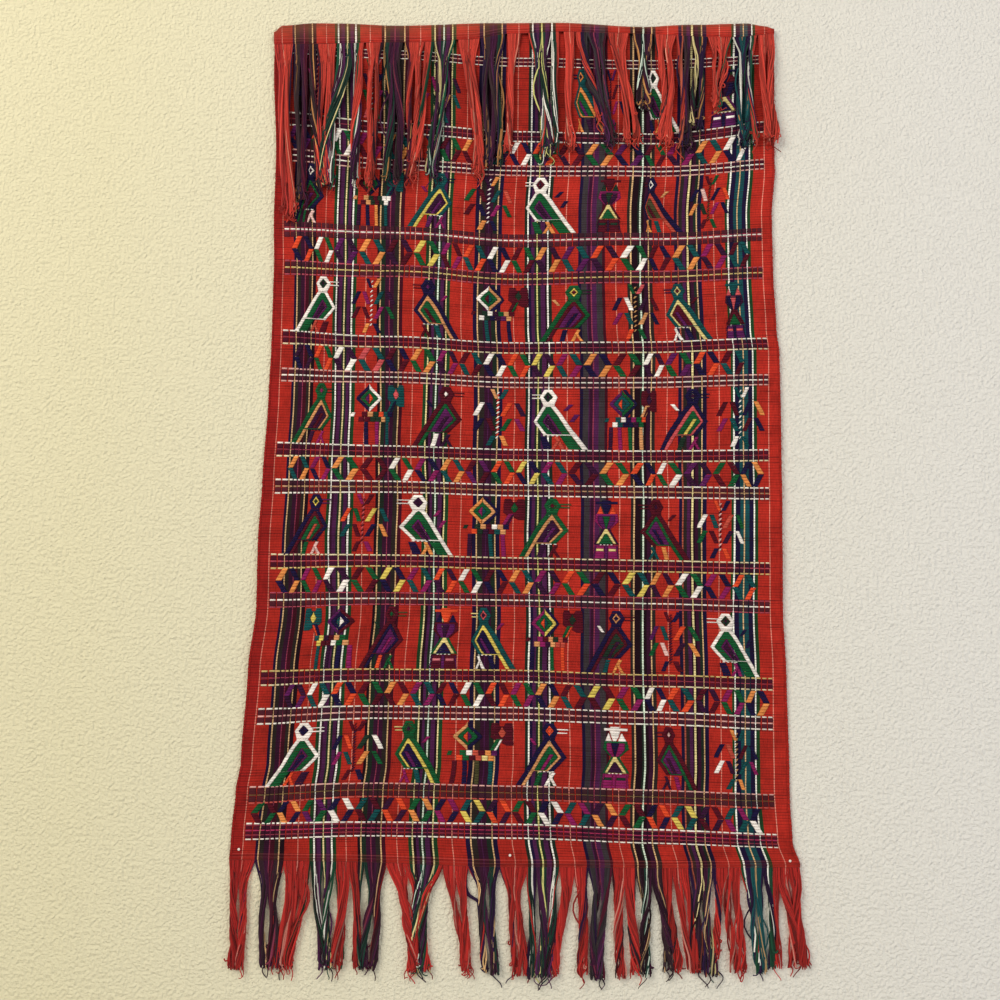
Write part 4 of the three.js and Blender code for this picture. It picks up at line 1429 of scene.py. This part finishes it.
def fringe_paths(bunches, edge, make, tones, seed):
    """The yarns of every bunch: their paths and radii in millimetres, and their dyes."""
    chance = np.random.default_rng(seed)
    all_paths, all_radii, all_colors = [], [], []
    body = np.linspace(0.04, 0.8, YARN_STATIONS - 13)
    station = np.concatenate([[0, 0.004], body, np.linspace(0.82, 0.985, 9), [0.995, 1]])
    for first, last, end_first, end_last, drop in bunches:
        count = max(LEAST_YARNS, round((last - first) * make["per_mm"]))
        root = np.clip(np.linspace(-1, 1, count) + chance.normal(0, 0.4 / count, count), -1, 1)
        length, stray = yarn_lengths(chance, drop, count)
        t = station[None] * length[:, None]
        gather = smooth(t * drop / chance.uniform(24, 38))
        locks = max(1, min(MOST_LOCKS, round((last - first) / LOCK_ROOT)))
        end_half = (end_last - end_first) / 2
        lock, lock_x, deep = twisted_locks(chance, root, t, locks, end_half, make)
        swing, hook_back = yarn_swing(chance, t, length, stray, drop, make)

        middle = (first + last) / 2
        end_middle = (end_first + end_last) / 2
        root_x = middle + root * (last - first) / 2
        gathered_x = middle + (end_middle - middle) * smooth(t) + lock_x
        x = root_x[:, None] * (1 - gather) + gathered_x * gather + swing
        own_top = edge_height(edge, root_x)
        mean_top = edge_height(edge, middle)
        top = own_top[:, None] * (1 - gather) + mean_top * gather
        z = top + YARN_HIDDEN - t * (drop + YARN_HIDDEN) + hook_back

        lock_depth = min(BELLY_DEPTH / 2 - YARN_RADIUS, end_half / locks * make["lock_width"])
        lock_stand = chance.uniform(0, 0.9, locks)[lock][:, None]
        layer = YARN_RADIUS + lock_depth * (1 + deep * gather) + lock_stand * gather
        backing = make["clearance"] + make["on_cloth"] * (CLOTH_THICK + stand_off(x, z))
        root_out = make["root_off"] + stand_off(root_x, own_top)[:, None]
        settle = smooth((t - 0.03) / 0.3)
        out = root_out * (1 - settle) + (backing + layer) * settle
        all_paths.append(np.stack([x, -out, z], axis=-1))

        fuller = np.interp(t, [0, 0.06, 0.25, 0.92, 1.02, 1.2], [1, 1, 1.3, 1.3, 0.8, 0.55])
        thick = YARN_RADIUS * one_each(chance, 0.85, 1.1, count) * fuller
        thick[:, [0, -1]] = 0
        all_radii.append(thick)

        spread = even_spread(root_x, -mean_top)
        dyes = [column_dyes[number] for number in column_at(spread - warp_stray(spread, mean_top))]
        yarn_tones = np.array([linear(tones.get(dye, DYES[dye])) for dye in dyes])
        # Partly dirt, partly painted shade and light: each yarn's dye is made darker or lighter at random.
        yarn_level = chance.choice(list(YARN_LEVELS), (count, 1), p=list(YARN_LEVELS.values()))
        all_colors.append(yarn_tones * yarn_level)
    return np.concatenate(all_paths), np.concatenate(all_radii), np.concatenate(all_colors)


paths, radii, colors = fringe_paths(LOWER_BUNCHES, HEM_EDGE, LOWER_MAKE, LOWER_TONES, 21)
# One slack strand left of the middle bows out and comes back under its bunch.
SLACK_AT = [0, 0.12, 0.3, 0.4, 0.5, 0.62, 1]
SLACK_X = [-50, -52.8, -52.6, -50, -45, -39, -34]
SLACK_DROP = [-2, 10, 21, 27, 30, 33, 96]
SLACK_YARNS = 7
SLACK_RADIUS = 0.6
SLACK_SPACE = 0.45
for number in range(SLACK_YARNS):
    share = np.linspace(0, 1, YARN_STATIONS)
    aside = SLACK_SPACE * (number - SLACK_YARNS // 2) + 0.3 * np.sin(9 * share + number)
    slack_x = np.interp(share, SLACK_AT, SLACK_X) + aside
    slack_z = edge_height(HEM_EDGE, slack_x) - np.interp(share, SLACK_AT, SLACK_DROP) + 0.3 * aside
    slack_y = 0 * share - CLOTH_THICK - 1.2 * smooth(share * 2) - 0.3 * (number % 3)
    paths = np.concatenate([paths, np.stack([slack_x, slack_y, slack_z], axis=-1)[None]])
    radii = np.concatenate([radii, [SLACK_RADIUS * (share > 0) * (share < 1)]])
    colors = np.concatenate([colors, [linear(LOWER_TONES["navy"])]])
lower_fringe = yarns("fringe_bottom_yarns", paths, radii, colors, "fringe_bottom")


# The upper fringe. It is the same warp at the other loom end, which the fold brings to the front: shorter
# and longer bunches hang from the flap in front of the cloth, more tangled than the lower ones.
UPPER_BUNCHES = [
    (-270, -250, -256, -242, 196), (-249, -234, -241, -229, 178), (-233, -226, -221, -213, 170),
    (-225, -204, -221, -205, 165), (-202, -189, -220, -200, 168), (-188, -174, -184, -171, 162),
    (-171, -152, -168, -157, 165), (-151, -132, -147, -128, 161), (-129, -108, -126, -113, 155),
    (-107, -98, -117, -109, 138), (-97, -75, -103, -91, 157), (-71, -49, -52, -41, 155),
    (-47, -21, -43, -24, 150), (-18, -4, -22, -13, 138), (5, 30, 18, 30, 144),
    (30, 37, 29, 37, 138), (43, 54, 44, 54, 140), (56, 68, 76, 86, 108),
    (68, 89, 86, 97, 133), (90, 113, 109, 123, 132), (118, 139, 122, 135, 90),
    (141, 164, 145, 160, 129), (165, 181, 166, 177, 130), (182, 198, 178, 191, 108),
    (199, 225, 201, 213, 84), (226, 252, 230, 247, 127), (254, 270, 255, 271, 127),
]
UPPER_MAKE = {
    "per_mm": 2.2,
    "root_off": CLOTH_THICK / 2 + 2 * FOLD_RADIUS,
    "on_cloth": True,
    "clearance": 1.2,
    "tangle": 1.0,
    "hooked": 0.6,
    "lock_width": 0.82,
}
UPPER_TONES = {
    **LOWER_TONES,
    "deep_red": (182, 54, 48),
    "red": (206, 68, 55),
    "pink": (221, 140, 118),
    "olive": (61, 42, 46),
    "green": (26, 85, 61),
    "tan": (208, 147, 88),
}
paths, radii, colors = fringe_paths(UPPER_BUNCHES, FLAP_EDGE, UPPER_MAKE, UPPER_TONES, 22)
upper_fringe = yarns("fringe_top_yarns", paths, radii, colors, "fringe_top")


# The pins. Three small steel pins, each with a pale enamelled head, are pushed through the cloth by hand.
# They hold the two corners of the hem and its middle to the wall.
PIN_HEAD_RADIUS = 1.3
PIN_HEAD_HEIGHT = 1.2
PIN_SHANK_RADIUS = 0.4
PIN_LENGTH = 11
PIN_POINT = 1.5
PIN_POINT_RADIUS = 0.05
PIN_SEAT = 0.3
PIN_GAP = 0.3
ENAMEL_FROM = 0.2
PIN_PLACES = {"pin_left": (-276, -872), "pin_middle": (-9, -875), "pin_right": (266, -878)}


def pin_finish(name, color, metallic, roughness):
    material = bpy.data.materials.new(name)
    material.use_nodes = True
    surface = material.node_tree.nodes["Principled BSDF"]
    surface.inputs["Base Color"].default_value = (*color, 1)
    surface.inputs["Metallic"].default_value = metallic
    surface.inputs["Roughness"].default_value = roughness
    return material


pin_enamel = pin_finish("Pale pin enamel", (0.82, 0.78, 0.7), 0, 0.28)
pin_steel = pin_finish("Pin steel", (0.6, 0.6, 0.6), 1, 0.3)
shank_length = PIN_LENGTH - PIN_HEAD_HEIGHT - PIN_POINT
shank = {"top": PIN_SEAT, "length": shank_length, "end_radius": PIN_SHANK_RADIUS}
point = {"top": PIN_SEAT - shank_length, "length": PIN_POINT, "end_radius": PIN_POINT_RADIUS}

for name, (across, height) in PIN_PLACES.items():
    shape = bmesh.new()
    head = bmesh.ops.create_uvsphere(shape, u_segments=20, v_segments=12, radius=PIN_HEAD_RADIUS)["verts"]
    bmesh.ops.scale(shape, verts=head, vec=(1, 1, PIN_HEAD_HEIGHT / (2 * PIN_HEAD_RADIUS)))
    bmesh.ops.translate(shape, verts=head, vec=(0, 0, PIN_HEAD_HEIGHT / 2))
    for rod in (shank, point):
        cone = bmesh.ops.create_cone(
            shape,
            segments=12,
            radius1=rod["end_radius"],
            radius2=PIN_SHANK_RADIUS,
            depth=rod["length"],
            cap_ends=True,
        )["verts"]
        bmesh.ops.translate(shape, verts=cone, vec=(0, 0, rod["top"] - rod["length"] / 2))
    for face in shape.faces:
        face.smooth = True
        face.material_index = 0 if face.calc_center_median().z > ENAMEL_FROM else 1
    bmesh.ops.rotate(shape, verts=shape.verts, cent=(0, 0, 0), matrix=Matrix.Rotation(math.pi / 2, 3, "X"))
    off = float(stand_off(np.array([across]), np.array([height]))[0])
    bmesh.ops.translate(shape, verts=shape.verts, vec=(across, -off - CLOTH_THICK - PIN_GAP, height))
    bmesh.ops.scale(shape, verts=shape.verts, vec=(MM, MM, MM))
    mesh = bpy.data.meshes.new(name + "_pin")
    shape.to_mesh(mesh)
    shape.free()
    mesh.materials.append(pin_enamel)
    mesh.materials.append(pin_steel)
    pin = bpy.data.objects.new(name + "_pin", mesh)
    bpy.context.collection.objects.link(pin)
    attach(pin, "root")
    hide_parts(name)
